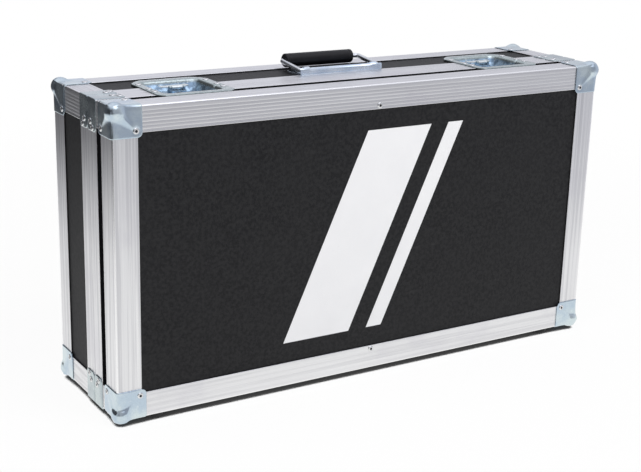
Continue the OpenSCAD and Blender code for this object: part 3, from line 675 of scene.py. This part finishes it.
def bent_strap():
    """A strap bent over an edge, (station, across, axis), in depths. The stations run in
    from one tip, round the bend and out to the other tip. At a distance e below 5 mm
    from a tip, half the width is less by 5 minus the square root of 25 - (5 - e)^2."""
    near_tip = brace_tip * (1 - np.cos(np.radians(np.linspace(0, 90, 8))))
    from_tip = np.concatenate([near_tip, [11, 18, 25, 30, brace_leg - brace_bend + sheet]])
    flat = brace_leg - from_tip
    arc = np.radians(np.linspace(0, 90, 7)[1:-1])
    centre = brace_bend - sheet
    side_leg = np.stack([np.full_like(flat, -sheet), flat], -1)
    bend = centre - brace_bend * np.stack([np.cos(arc), np.sin(arc)], -1)
    line = np.concatenate([side_leg, bend, side_leg[::-1, ::-1]])
    inward = np.concatenate([
        np.tile([1.0, 0.0], (len(flat), 1)),
        np.stack([np.cos(arc), np.sin(arc)], -1),
        np.tile([0.0, 1.0], (len(flat), 1)),
    ])
    e = np.full(len(line), brace_tip)
    e[: len(flat)] = np.minimum(from_tip, brace_tip)
    e[-len(flat):] = np.minimum(from_tip, brace_tip)[::-1]
    half = brace_width / 2 - brace_tip + np.sqrt(brace_tip**2 - (brace_tip - e) ** 2)
    across = np.array([0, 0.3, 0.6, 0.86, 0.9, 0.94, 0.97, 1])
    across = np.concatenate([-across[:0:-1], across])
    roll = 0.7 * np.maximum(
        np.clip((np.abs(across) - 0.86) / 0.14, 0, 1)[None] ** 2,
        np.clip(1 - e / 1.2, 0, 1)[:, None] ** 2,
    )
    flat_place = line[:, None] + roll[..., None] * inward[:, None]
    y = half[:, None] * across[None]
    return np.stack([flat_place[..., 0], y, flat_place[..., 1]], -1)


brace_zinc = zinc("brace_zinc", rgb(0.44, 0.50, 0.52), rgb(0.58, 0.65, 0.65), 0.18)
strap = bent_strap()
for half, sign_y in (("lid", -1), ("base", 1)):
    parts = []
    y_middle = y_joint + sign_y * (0.5 + brace_width / 2)
    for sign_x, sign_z in corner_signs:
        points = at_vertex(strap, sign_x, y_middle, 1, sign_z).reshape(-1, 3)
        part = points, [grid_faces(*strap.shape[:2])]
        parts.append(facing(part, (sign_x, 0, sign_z)))
    make_piece(
        f"{half}_bent_braces", parts, half, "zinc", brace_zinc,
        f"{half}_corner_braces", sheet=sheet, sharp=50,
    )

# ---- Rivets and screws ----
# Steel pop rivets with a domed head, in whose bore the end of the broken-off pin sits,
# painted near black as painted shade in the bore, and small pan-head screws with a cross in
# the hinges and the feet.

rivet_sink = 0.25
brace_rivet_places = ((25.0, -2.5), (31.5, 2.5))
hinge_x, screw_pitch, screw_back, leaf = 200, 20, 14, 1.6
foot_x, foot_y, foot_recess = 289, 69, 3.5


def turned(profile, centre, axis, steps=16, closed=False):
    """A profile of (radius, height) turned round an axis through a centre. Heights may
    differ round the turn: then they are an array (point, step). A closed profile makes
    a ring, an open one runs from pole to pole."""
    axis = np.array(axis, float)
    side = np.roll(np.abs(axis), 1)
    across = np.cross(axis, side)
    angle = np.linspace(0, 2 * math.pi, steps, endpoint=False)
    radius, height = profile
    radius = np.asarray(radius, float)[:, None]
    height = np.asarray(height, float).reshape(len(radius), -1)
    height = np.broadcast_to(height, (len(radius), steps))
    round_it = np.cos(angle)[:, None] * side + np.sin(angle)[:, None] * across
    points = np.array(centre) + radius[..., None] * round_it + height[..., None] * axis
    faces = grid_faces(len(radius), steps, closed, True)
    return points.reshape(-1, 3), [faces]


rivet_profile = (
    [0, 3.7, 3.7, 3.45, 2.9, 2.25, 1.8, 1.6, 1.52, 1.5, 0],
    [-0.6, -0.6, 0.25, 0.62, 0.92, 1.08, 1.08, 0.96, 0.6, -0.2, -0.2],
)
pin_profile = ([0, 1.49, 1.49, 1.1, 0.5, 0], [-0.4, -0.4, 0.28, 0.42, 0.34, 0.4])
screw_radius = np.array([0, 3.2, 3.2, 3.05, 2.7, 2.2, 1.7, 1.4, 1.1, 0.8, 0.5, 0.25, 0])
screw_dome = np.array(
    [-0.6, -0.6, 0.2, 0.5, 0.75, 0.92, 1.0, 1.03, 1.05, 1.06, 1.07, 1.07, 1.07]
)
screw_steps = 24
spoke = np.linspace(0, 2 * math.pi, screw_steps, endpoint=False)
from_arm = screw_radius[:, None] * np.minimum(np.abs(np.sin(spoke)), np.abs(np.cos(spoke)))
in_cross = (from_arm < 0.32) & (screw_radius[:, None] < 1.9) & (screw_dome[:, None] > 0.9)
screw_profile = (screw_radius, screw_dome[:, None] - 0.75 * in_cross)


def petal_rivets(y_face, sign_y):
    """Places and axes of the rivets in the petals: one on each face of each corner."""
    found = []
    for sign_x, sign_z in corner_signs:
        signs = (sign_x, sign_y, sign_z)
        for axis in range(3):
            depths = np.full(3, petal_rivet)
            depths[axis] = rivet_sink - sheet
            place = at_vertex(depths, sign_x, y_face, sign_y, sign_z)
            found.append((place, np.eye(3)[axis] * signs[axis]))
    return found


def brace_rivets(sign_y):
    """Places and axes of the rivets in the braces: 25 and 31.5 mm along each leg."""
    found = []
    for sign_x, sign_z in corner_signs:
        for along, aside in brace_rivet_places:
            y = y_joint + sign_y * (closure_leg / 2 + aside)
            z = z_mid + sign_z * (half_height - along)
            found.append(((sign_x * (x_side + sheet), y, z), (sign_x, 0, 0)))
            x = sign_x * (x_side - along)
            z = z_mid + sign_z * (half_height + sheet)
            found.append(((x, y, z), (0, 0, sign_z)))
    return found


def top_rivets(*places):
    """Rivets through plates on the top of the case."""
    return [((x, y, z_top + sheet), (0, 0, 1)) for x, y in places]


def leaf_screws(sign_y):
    """Screws of the hinge leaves, which point down."""
    leaf_under = 1000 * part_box("base_hinge_leaves")[1].z - leaf
    y = y_joint + sign_y * screw_back
    return [
        ((side * hinge_x + step * screw_pitch, y, leaf_under), (0, 0, -1))
        for side in (-1, 1)
        for step in (-1, 0, 1)
    ]


def foot_screws(sign_y):
    """Screws in the recesses of the feet, which point down."""
    y = sign_y * foot_y
    return [((side * foot_x, y, foot_recess), (0, 0, -1)) for side in (-1, 1)]


latch_rivet_x, near_rivet, far_rivet = 42.65, 8, 37
handle_rivet_x, handle_rivet_backs = 42, (39, 50)
frame_rivet_rise = 154.5
latch_rivets = top_rivets(*(
    (side * latch_x + aside * latch_rivet_x, y_joint + back)
    for side in (-1, 1) for aside in (-1, 1) for back in (near_rivet, far_rivet)
))
keeper_rivets = top_rivets(*(
    (side * latch_x + aside * latch_rivet_x, y_joint - near_rivet)
    for side in (-1, 1) for aside in (-1, 1)
))
handle_rivets = top_rivets(*(
    (side * handle_rivet_x, y_joint + back)
    for back in handle_rivet_backs for side in (-1, 1)
))
frame_rivets = [
    ((0, y_front, z_mid + side * frame_rivet_rise), (0, -1, 0)) for side in (-1, 1)
]


def polished(name, marks, grain, depth, low, dull, clear, gloss, spread):
    """Polished metal: two greys in patches, the second from 0.7 of the noise up, rougher
    by a spread where the noise is high, with a fine grain."""
    made, place = new_finish(name)
    marked = place.noise(*marks)
    painted(
        place,
        place.noise(*grain),
        depth,
        Base_Color=marked.between(low, 0.7).mix(dull, clear),
        Metallic=1.0,
        Roughness=gloss + spread * marked,
    )
    return made


bright = polished(
    "bright_steel", (260, 4.0), (1400, 2.0), 0.00003, 0.35,
    rgb(0.66, 0.67, 0.68), rgb(0.84, 0.84, 0.83), 0.16, 0.2,
)
# Painted shade: the pin ends in the rivets' bores are near black, standing in for the shade
# in the bore.
pin_end, place = new_finish("rivet_pin_end")
bore_shade = place.noise(1800, 2.0)
painted(
    place,
    bore_shade,
    0.00005,
    Base_Color=bore_shade.mix(rgb(0.012, 0.012, 0.014), rgb(0.05, 0.05, 0.055)),
    Metallic=0.4,
    Roughness=0.5 + 0.2 * bore_shade,
)
for half, y_face, sign_y, others in (
    ("lid", y_front, -1, keeper_rivets + frame_rivets),
    ("base", y_back, 1, latch_rivets + handle_rivets),
):
    rivets = petal_rivets(y_face, sign_y) + brace_rivets(sign_y) + others
    screws = leaf_screws(sign_y) + foot_screws(sign_y)
    parts = [turned(rivet_profile, place, axis, 14) for place, axis in rivets]
    parts += [turned(screw_profile, place, axis, screw_steps) for place, axis in screws]
    make_piece(f"{half}_rivet_heads", parts, half, "steel", bright, f"{half}_rivets")
    parts = [turned(pin_profile, place, axis, 12) for place, axis in rivets]
    make_piece(f"{half}_rivet_pins", parts, half, "steel", pin_end)

# ---- Feet ----
# Four round feet of black rubber under the hinge side, each with a recess for its screw.


def rubber_finish(name, dark, light, rough):
    """Moulded rubber: a dull black with a bloom of lighter dust and a fine skin."""
    made, place = new_finish(name)
    dust = place.noise(55, 5.0).between(0.45, 0.75)
    skin = place.noise(1300, 2.0)
    painted(
        place,
        skin,
        0.00006,
        Base_Color=(dust * 0.6).mix(dark, light),
        Roughness=rough + 0.14 * dust + 0.08 * skin,
        Specular_IOR_Level=0.3,
    )
    return made


foot_rubber = rubber_finish(
    "foot_rubber", rgb(0.014, 0.014, 0.015), rgb(0.05, 0.05, 0.05), 0.6
)
foot_profile = (
    [0, 10.6, 11, 11, 10.8, 10.2, 9.4, 8.8, 5.0, 4.6, 4.5, 4.5, 0],
    [7, 7, 6.7, 2.0, 1.1, 0.35, 0.02, 0, 0, 0.15, 0.5, foot_recess, foot_recess],
)
for half, y in (("lid", -foot_y), ("base", foot_y)):
    parts = [turned(foot_profile, (side * foot_x, y, 0), (0, 0, 1), 40) for side in (-1, 1)]
    make_piece(f"{half}_rubber_feet", parts, half, "rubber", foot_rubber, f"{half}_feet")

# ---- Foam lining ----
# Soft grey foam glued into both halves: strips along the walls, a crowned pad on the back
# board for the pedals to lie on, and a waved pad in the lid that holds them down.

foam_round, foam_draw, foam_pitch = 2.4, 0.9, 26.0
strip, foam_gap = 8.0, 0.4
recess_front, recess_rear, recess_cut = 44.6, 52.6, 5.6


def foam_slab(size, crown, waves, press=None, rows=60, columns=30):
    """A closed slab of foam, length x width x thickness, from its glued face at 0 up. Over
    the edges it is rounded by a radius r of 2.4: the height falls by r less the square
    root of r^2 - (r - e)^2 at a distance e from the edge. The face is crowned by
    (1 - u^4)(1 - v^4), the sides pull in between the corners by (1 - v^2), and waves are
    a product of two sines."""
    length, width, thickness = size
    even = np.linspace(-1, 1, rows)
    u = 0.88 * even + 0.12 * np.sin(even * math.pi / 2)
    v = np.linspace(-1, 1, columns)
    u, v = np.meshgrid(u, v, indexing="ij")
    x = u * (length / 2 - foam_draw * (1 - v**2))
    y = v * (width / 2 - foam_draw * (1 - u**2))
    edge = np.minimum((1 - np.abs(u)) * length / 2, (1 - np.abs(v)) * width / 2)
    from_flat = foam_round - np.minimum(edge, foam_round)
    rounded = foam_round - np.sqrt(foam_round**2 - from_flat**2)
    inside = np.clip(edge / 9, 0, 1)
    face = thickness - crown * (1 - (1 - u**4) * (1 - v**4)) - rounded
    if waves:
        wave = np.sin(x * math.pi / foam_pitch) * np.sin(y * math.pi / foam_pitch)
        face -= waves * inside * (1 - wave) / 2
    back = np.zeros_like(face) if press is None else press(x, y)
    up = np.stack([x, y, face], -1).reshape(-1, 3)
    down = np.stack([x, y, back], -1).reshape(-1, 3)
    number = np.arange(rows * columns).reshape(rows, columns)
    rim = np.concatenate(
        [number[:-1, 0], number[-1, :-1], number[:0:-1, -1], number[0, :0:-1]]
    )
    following = np.roll(rim, -1)
    total = rows * columns
    sides = np.stack([rim, following, following + total, rim + total], -1)
    top = grid_faces(rows, columns)
    return np.concatenate([up, down]), [top, top[:, ::-1] + total, sides]


foam, place = new_finish("grey_foam")
cells = place.noise(900, 3.0)
shade = place.noise(12, 3.0)
grey = shade.between(0.3, 0.7).mix(rgb(0.036, 0.037, 0.042), rgb(0.055, 0.056, 0.062))
painted(
    place,
    cells,
    0.0005,
    Base_Color=cells.between(0.3, 0.7).mix(rgb(0.02, 0.02, 0.023), grey),
    Roughness=0.88 + 0.1 * cells,
    Sheen_Weight=0.25,
)


def in_frame(part, centre, long_axis, cross_axis, up_axis):
    """A slab's own length, width and height laid along three axes at a centre."""
    points, blocks = part
    axes = np.array([long_axis, cross_axis, up_axis], float)
    return np.array(centre) + points @ axes, blocks


def over_recesses(x, y):
    """How far the glued face of the top strip is cut back over the latch recesses."""
    near = np.abs(np.abs(x) - latch_x) < recess_half + 1
    over = (y > y_joint - recess_front) & (y < y_joint + recess_rear)
    return np.where(near & over, recess_cut, 0.0)


for half, up, crown, waves, rows, columns in (
    ("lid", 1, 0.0, 5.0, 240, 120),
    ("base", -1, 1.2, 0.0, 70, 40),
):
    pad_node, wall_node = f"{half}_foam_pad", f"{half}_foam_walls"
    low, high = (1000 * np.array(v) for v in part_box(pad_node))
    middle, size = (low + high) / 2, high - low
    y_glued = low[1] if up > 0 else high[1]
    size = (size[0] - foam_gap, size[2] - foam_gap, size[1])
    slab = foam_slab(size, crown, waves, None, rows, columns)
    part = in_frame(slab, (middle[0], y_glued, middle[2]), (1, 0, 0), (0, 0, 1), (0, up, 0))
    piece = make_piece(f"{half}_pad", [part], half, "foam", foam, pad_node, sharp=80)

    low, high = (1000 * np.array(v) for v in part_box(wall_node))
    y_middle, depth = (low[1] + high[1]) / 2, high[1] - low[1]
    half_x, half_z = x_side - inner_face, half_height - inner_face
    parts = []
    # The top strip, which is cut back over the recesses, and then the bottom one.
    for sign, press in ((-1, lambda x, y: over_recesses(x, y_middle + y)), (1, None)):
        slab = foam_slab((2 * half_x, depth, strip), 0.5, 0.0, press, 160, 24)
        centre = (0, y_middle, z_mid - sign * half_z)
        parts.append(in_frame(slab, centre, (1, 0, 0), (0, 1, 0), (0, 0, sign)))
    upright = (2 * (half_z - strip) - foam_gap, depth, strip)
    for sign in (-1, 1):
        slab = foam_slab(upright, 0.5, 0.0, None, 90, 24)
        centre = (sign * half_x, y_middle, z_mid)
        parts.append(in_frame(slab, centre, (0, 0, 1), (0, 1, 0), (-sign, 0, 0)))
    piece = make_piece(f"{half}_lining", parts, half, "foam", foam, wall_node, sharp=80)

# ---- Latch recesses ----
# Trays drawn from zinc-plated sheet, half in the base and half in the lid, with a flange
# whose far corners are clipped. The lid's half has a bridge that the hook slides under.


def dished_zinc(name, flange, spots, pocket):
    """Yellowed zinc with darker spots on the flange, and in the recess a darker blue with
    less metal, painted shade there. The change from one to the other is from 4 to 1 mm below
    the top of the case."""
    made, place = new_finish(name)
    spangle = place.noise(330, 3.0)
    patches = place.noise(120, 4.0)
    wear = place.noise(210, 5.0).between(0.6, 0.72)
    height = place.along((0, 0, 1)).between(z_top / 1000 - 0.004, z_top / 1000 - 0.001)
    # Painted shade: the recess below the top of the case is a darker blue than the flange.
    blue = patches.between(0.4, 0.62).mix(pocket, rgb(0.15, 0.22, 0.30))
    pale = (spangle.between(0.4, 0.62) * 0.6).mix(flange, spots)
    tint = height.mix(blue, pale)
    painted(
        place,
        spangle + patches,
        0.00012,
        Base_Color=(wear * 0.5).mix(tint, rgb(0.78, 0.82, 0.82)),
        Metallic=0.75 + 0.25 * height,
        Roughness=0.14 + 0.1 * spangle + 0.06 * patches,
    )
    return made


latch_zinc = dished_zinc(
    "latch_zinc", rgb(0.50, 0.57, 0.56), rgb(0.30, 0.35, 0.36), rgb(0.38, 0.53, 0.68)
)


def tray_outline(half, reach, corner, roundness):
    """Half a ring round a latch, from the joint on one side, round the far end, to the
    joint on the other. The corners are arcs where roundness is 1, straight cuts where
    it is 0, and in between the weighted mean of both."""
    share = np.array([0, 0.12, 0.25, 0.438, 0.444, 0.6, 0.8])[:, None]
    side = np.array([-half, 0]) + share * np.array([0, reach - corner])
    turn = np.array([0, 0.12, 0.28, 0.455, 0.47, 0.65, 0.84, 1])[:, None]
    angle = turn * math.pi / 2
    arc = np.concatenate([1 - np.cos(angle), np.sin(angle)], 1)
    cut = np.concatenate([turn, turn], 1)
    bend = roundness * arc + (1 - roundness) * cut
    bend = np.array([-half, reach - corner]) + corner * bend
    far = np.linspace(0, 1, 6)[1:, None] * np.array([half - corner, 0])
    far = far + [corner - half, reach]
    left = np.concatenate([side, bend, far])
    return np.concatenate([left, (left * [-1, 1])[-2::-1]])


def pressed_tray(flange, pocket, clip, floor):
    """A tray as rings from the flange's edge over the rim and down a drafted wall to the
    floor, a height below the top. Each ring is (half width, reach, corner, roundness,
    height). The flange's edge reaches down to the board beyond the closure."""
    rings = [
        (48, flange, clip, 0.3, 0), (48, flange, clip, 0.3, 0.9),
        (47.85, flange - 0.15, clip, 0.3, 1.17), (47.5, flange - 0.5, clip, 0.3, 1.3),
        (40.6, pocket + 4.6, 9, 0.9, 1.3), (38.8, pocket + 2.8, 8, 1, 1.2),
        (37.4, pocket + 1.4, 7.4, 1, 0.75), (36.4, pocket + 0.3, 7, 1, 0),
        (35.4, pocket - 0.6, 7, 1, -1.6), (34.4, pocket - 1.3, 6.6, 1, -4.1),
        (32.6, pocket - 4.2, 6.6, 1, -6.8), (30.8, pocket - 6.9, 6.4, 1, -9.4),
        (29.9, pocket - 7.7, 6, 1, -10.8), (29.0, pocket - 8.4, 5.6, 1, -11.7),
        (28.2, pocket - 8.9, 5.2, 1, floor), (18, pocket - 12, 3, 1, floor),
        (8, pocket * 0.4, 2, 1, floor), (0, pocket * 0.3, 0, 1, floor),
    ]
    levels = []
    for half, reach, corner, roundness, height in rings:
        plan = tray_outline(half, reach, corner, roundness)
        z = np.full(len(plan), float(height))
        if not levels:
            z[plan[:, 1] > closure_leg] = -wall
        levels.append(np.column_stack([plan, z]))
    return np.array(levels)


def rounded_box(width, height, radius, steps=4):
    """Outline of a rectangle with arcs at its corners."""
    angle = np.radians(np.linspace(0, 90, steps))
    arc = np.stack([np.cos(angle), np.sin(angle)], -1) * radius
    corner = np.array([width / 2 - radius, height / 2 - radius])
    first = corner + arc
    upper = np.concatenate([first, (first * [-1, 1])[::-1]])
    return np.concatenate([upper, -upper])


def bent_path(corners, radii, steps=7):
    """A line with square corners, each replaced by a quarter circle: with u the way in
    and v the way out, centre - r v cos(t) + r u sin(t) round corner - r u + r v."""
    corners = np.array(corners, float)
    pieces = [corners[:1]]
    angle = np.radians(np.linspace(0, 90, steps))[:, None]
    for before, at, after, r in zip(corners, corners[1:], corners[2:], radii):
        u = (at - before) / np.linalg.norm(at - before)
        v = (after - at) / np.linalg.norm(after - at)
        pieces.append(at - r * u + r * v - r * v * np.cos(angle) + r * u * np.sin(angle))
    return np.concatenate(pieces + [corners[-1:]])


def swept(path, section, normal):
    """A section of (aside, along the normal) carried along a path in one plane, square to
    the path's direction at each point."""
    direction = np.gradient(path, axis=0)
    direction /= np.linalg.norm(direction, axis=1, keepdims=True)
    normal = np.array(normal, float)
    aside = np.cross(normal, direction)
    return loft(
        path[:, None] + section[None, :, :1] * aside[:, None] + section[None, :, 1:] * normal
    )


# The keeper's floor lies a little lower, so that the hook plate slides over it.
trays = (
    ("base", "latch_tray", "latch_dish", pressed_tray(61, 50, 16, -12.0)),
    ("lid", "keeper_tray", "keeper", pressed_tray(34, 22, 8, -12.15) * [1, -1, 1]),
)
for side, sign in (("left", -1), ("right", 1)):
    origin = np.array([sign * latch_x, y_joint, z_top])
    for half, name, node, tray in trays:
        part = (origin + tray).reshape(-1, 3), [grid_faces(*tray.shape[:2])]
        make_piece(
            f"{side}_{name}", [facing(part, (0, 0, 1))], half, "zinc", latch_zinc,
            f"{side}_{node}", sheet=sheet, sharp=50,
        )
    bridge = bent_path(
        [(-11.8, -5.6, -12.4), (-11.8, -5.6, -5.8), (11.8, -5.6, -5.8), (11.8, -5.6, -12.4)],
        (2.0, 2.0),
    )
    part = swept(origin + bridge, rounded_box(2.4, 2.4, 0.5), (0, 1, 0))
    make_piece(f"{side}_keeper_bridge", [part], "lid", "zinc", latch_zinc)

# ---- Latch drums, hooks and wings ----
# A zinc drum on a riveted spindle with two lugs, a steel hook plate slotted round the
# spindle, and a bow-tie wing of bright steel that folds flat on the pin between the lugs.


def softened(name, node, body, finish, width):
    """A merged copy of a CAD node with its sharp edges taken off."""
    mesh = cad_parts[node].data.copy()
    merged = bmesh.new()
    merged.from_mesh(mesh)
    bmesh.ops.remove_doubles(merged, verts=merged.verts, dist=weld)
    bmesh.ops.dissolve_limit(
        merged, angle_limit=math.radians(1), verts=merged.verts, edges=merged.edges
    )
    bmesh.ops.recalc_face_normals(merged, faces=merged.faces)
    merged.to_mesh(mesh)
    merged.free()
    piece = set_down(name, mesh, body, finish, (node,), crease)
    edges = piece.modifiers.new("edges", "BEVEL")
    edges.width, edges.segments, edges.limit_method = width / 1000, 2, "ANGLE"
    edges.angle_limit = math.radians(crease)


rotor_y = y_joint + 25.0
pin_z = z_top - 2.9
barrel_half = 6.7


def bow_tie():
    """The wing, (station, round, axis): a flat superellipse of exponent 6 whose half width
    widens from the waist to the tips, and whose rear edge is drawn in by 3 mm at the
    waist. Hollows for the fingers thin it by a third, 11 mm off its middle."""
    v = np.array([0, 0.06, 0.14, 0.22, 0.3, 0.4, 0.55, 0.7, 0.85, 0.94, 0.985, 1])[:, None]
    width = np.interp(v, [0, 0.06, 0.3, 0.4, 0.94, 1], [6.5, 6.5, 17.4, 18, 18, 17.3])
    angle = np.linspace(0, 2 * math.pi, 48, endpoint=False)[None]
    power = 1 / 3
    x = width * np.sign(np.cos(angle)) * np.abs(np.cos(angle)) ** power
    swell = np.sign(np.sin(angle)) * np.abs(np.sin(angle)) ** power
    thin = 1 - 0.34 * np.exp(-(((np.abs(x) - 11.5) / 4) ** 2)) * np.clip(v * 4, 0, 1)
    thick = np.interp(v, [0, 0.94, 0.985, 1], [1, 1, 0.86, 0.5])
    aside = np.clip((np.abs(x) - barrel_half) / 11.3, 0, 1)
    rear = 12 + 3 * aside**2 * (3 - 2 * aside)
    y = 1.6 + v * (rear - 1.6)
    return np.stack([x, y, swell * thin * thick], -1)


barrel_ends = np.array([-barrel_half, -barrel_half, 0.2 - barrel_half])
barrel_profile = (
    [1.26, 2.0, 2.2, 2.2, 2.0, 1.26], np.concatenate([barrel_ends, -barrel_ends[::-1]])
)
wing_steel = polished(
    "wing_steel", (180, 5.0), (1100, 3.0, (0.1, 1, 1)), 0.00004, 0.35,
    rgb(0.74, 0.80, 0.81), rgb(0.90, 0.92, 0.91), 0.16, 0.14,
)
for side, sign in (("left", -1), ("right", 1)):
    softened(
        f"{side}_drum", f"{side}_latch_rotor", f"{side}_rotor", latch_zinc, 0.35
    )
    softened(
        f"{side}_hook_plate", f"{side}_latch_hook", f"{side}_hook", bright, 0.3
    )
    origin = np.array([sign * latch_x, rotor_y, pin_z])
    parts = [loft(origin + bow_tie()), turned(barrel_profile, origin, (1, 0, 0), 24, True)]
    make_piece(
        f"{side}_bow_tie_wing", parts, f"{side}_wing", "steel", wing_steel,
        f"{side}_latch_wing",
    )

# ---- Handle ----
# A riveted plate with a pressed saddle, a chromed wire bail whose ends turn under the saddle,
# and a grip of black rubber with chamfered ends pushed over the wire.

handle_zinc = zinc("handle_zinc", rgb(0.62, 0.72, 0.84), rgb(0.78, 0.86, 0.94), 0.12)
saddle_radius, saddle_bore, saddle_foot = 4.66, 3.06, 0.9
plate_width, plate_depth, plate_back = 118, 34, 55
pivot_rise = saddle_radius
pivot = np.array([0.0, y_joint + 26.0, z_top + pivot_rise])


def plate(width, depth, centre, corner, levels):
    """A flat plate as rounded rectangles at rising levels, each (inset, height)."""
    rings = []
    for inset, height in levels:
        plan = rounded_box(width - 2 * inset, depth - 2 * inset, corner - inset, 6)
        rings.append(np.column_stack([plan, np.full(len(plan), height)]) + centre)
    return loft(np.array(rings))


def arc_over(radius, first, last):
    """An arc over the wire as (y, z): y from the pivot and z from the top of the case."""
    angle = np.radians(np.linspace(first, last, 20))
    return np.stack([-radius * np.cos(angle), pivot_rise + radius * np.sin(angle)], -1)


def carried(section, stations):
    """A section (y, z) carried along the pivot's line, at stations of (x, scale)."""
    x, scale = np.array(stations).T[..., None]
    y = pivot[1] + section[:, 0] * scale
    z = z_top + section[:, 1] * scale
    return loft(np.stack(np.broadcast_arrays(x, y, z), -1))


plate_levels = ((0, 0), (0, 0.85), (0.12, 1.12), (0.5, 1.3))
middle = (0, y_joint + plate_back - plate_depth / 2, z_top)
parts = [plate(plate_width, plate_depth, middle, 3, plate_levels)]
packing = plate_back - closure_leg
middle = (0, y_joint + plate_back - packing / 2, z_top - wall)
parts.append(plate(plate_width - 0.6, packing, middle, 3, ((0.3, 0), (0.3, wall))))
saddle = np.concatenate([
    [[-saddle_radius, saddle_foot]],
    arc_over(saddle_radius, 0, 180),
    [[saddle_radius, saddle_foot], [saddle_bore, saddle_foot]],
    arc_over(saddle_bore, 180, 0),
    [[-saddle_bore, saddle_foot]],
])
cheek = np.concatenate([
    [[-saddle_radius, saddle_foot]], arc_over(saddle_radius, 0, 43), [[-3.4, saddle_foot]]
])
necked = [(43, 0.84), (45, 1), (52.1, 1), (52.5, 0.96)]
parts.append(carried(saddle, [(-x, scale) for x, scale in necked[::-1]] + necked))
for side in (-1, 1):
    parts.append(carried(cheek, [(side * 52.3, 1), (side * 58.6, 1), (side * 59, 0.97)]))
make_piece("handle_base", parts, "base", "zinc", handle_zinc, "handle_plate")

chrome = polished(
    "chromed_wire", (330, 4.0), (330, 4.0), 0.00002, 0.4,
    rgb(0.70, 0.73, 0.76), rgb(0.86, 0.87, 0.88), 0.1, 0.14,
)
arm_x, arm = 56.0, 48.0
grip_rise, grip_aside = 5.04, 3.3
lean = math.asin(grip_rise / arm)
tilt = np.array([
    [1, 0, 0], [0, math.cos(lean), -math.sin(lean)], [0, math.sin(lean), math.cos(lean)]
])


def leaned(part):
    """A part of the bail drawn lying flat, turned up about the pivot to rest."""
    points, blocks = part
    return points @ tilt.T + pivot, blocks


corners = [
    (-40, 0, 0), (-arm_x, 0, 0), (-arm_x, arm, 0), (arm_x, arm, 0), (arm_x, 0, 0), (40, 0, 0)
]
path = bent_path(corners, (4.2, 4.5, 4.5, 4.2), 9)
part = leaned(swept(path, rounded_box(6, 6, 2.999, 6), (0, 0, 1)))
make_piece("handle_wire", [part], "handle", "wire", chrome, "handle_bail")

grip_x = np.array([0, 38, 42.4, 42.8, 43.8, 44.2, 47.2, 48.0, 48.7, 49.0])
grip_r = np.array([8.47, 8.47, 8.47, 8.25, 8.25, 8.47, 8.47, 8.2, 7.5, 6.9])
grip_profile = (
    np.concatenate([grip_r[::-1], grip_r[1:], [3.6, 3.05, 3.05, 3.6]]),
    np.concatenate([-grip_x[::-1], grip_x[1:], [49, 48.5, -48.5, -49]]),
)
grip_rubber = rubber_finish(
    "grip_rubber", rgb(0.003, 0.003, 0.004), rgb(0.009, 0.009, 0.011), 0.36
)
part = leaned(turned(grip_profile, (-grip_aside, arm, 0), (1, 0, 0), 48, True))
make_piece("rubber_grip", [part], "handle", "rubber", grip_rubber, "handle_grip")

# ---- Hinges ----
# Two leaf hinges of bright steel under the joint, screwed to the closures, with knuckles
# that turn on a plain pin.

for half in ("lid", "base"):
    softened(f"{half}_leaves", f"{half}_hinge_leaves", half, bright, 0.25)
cover(bright, "hinge_pins")
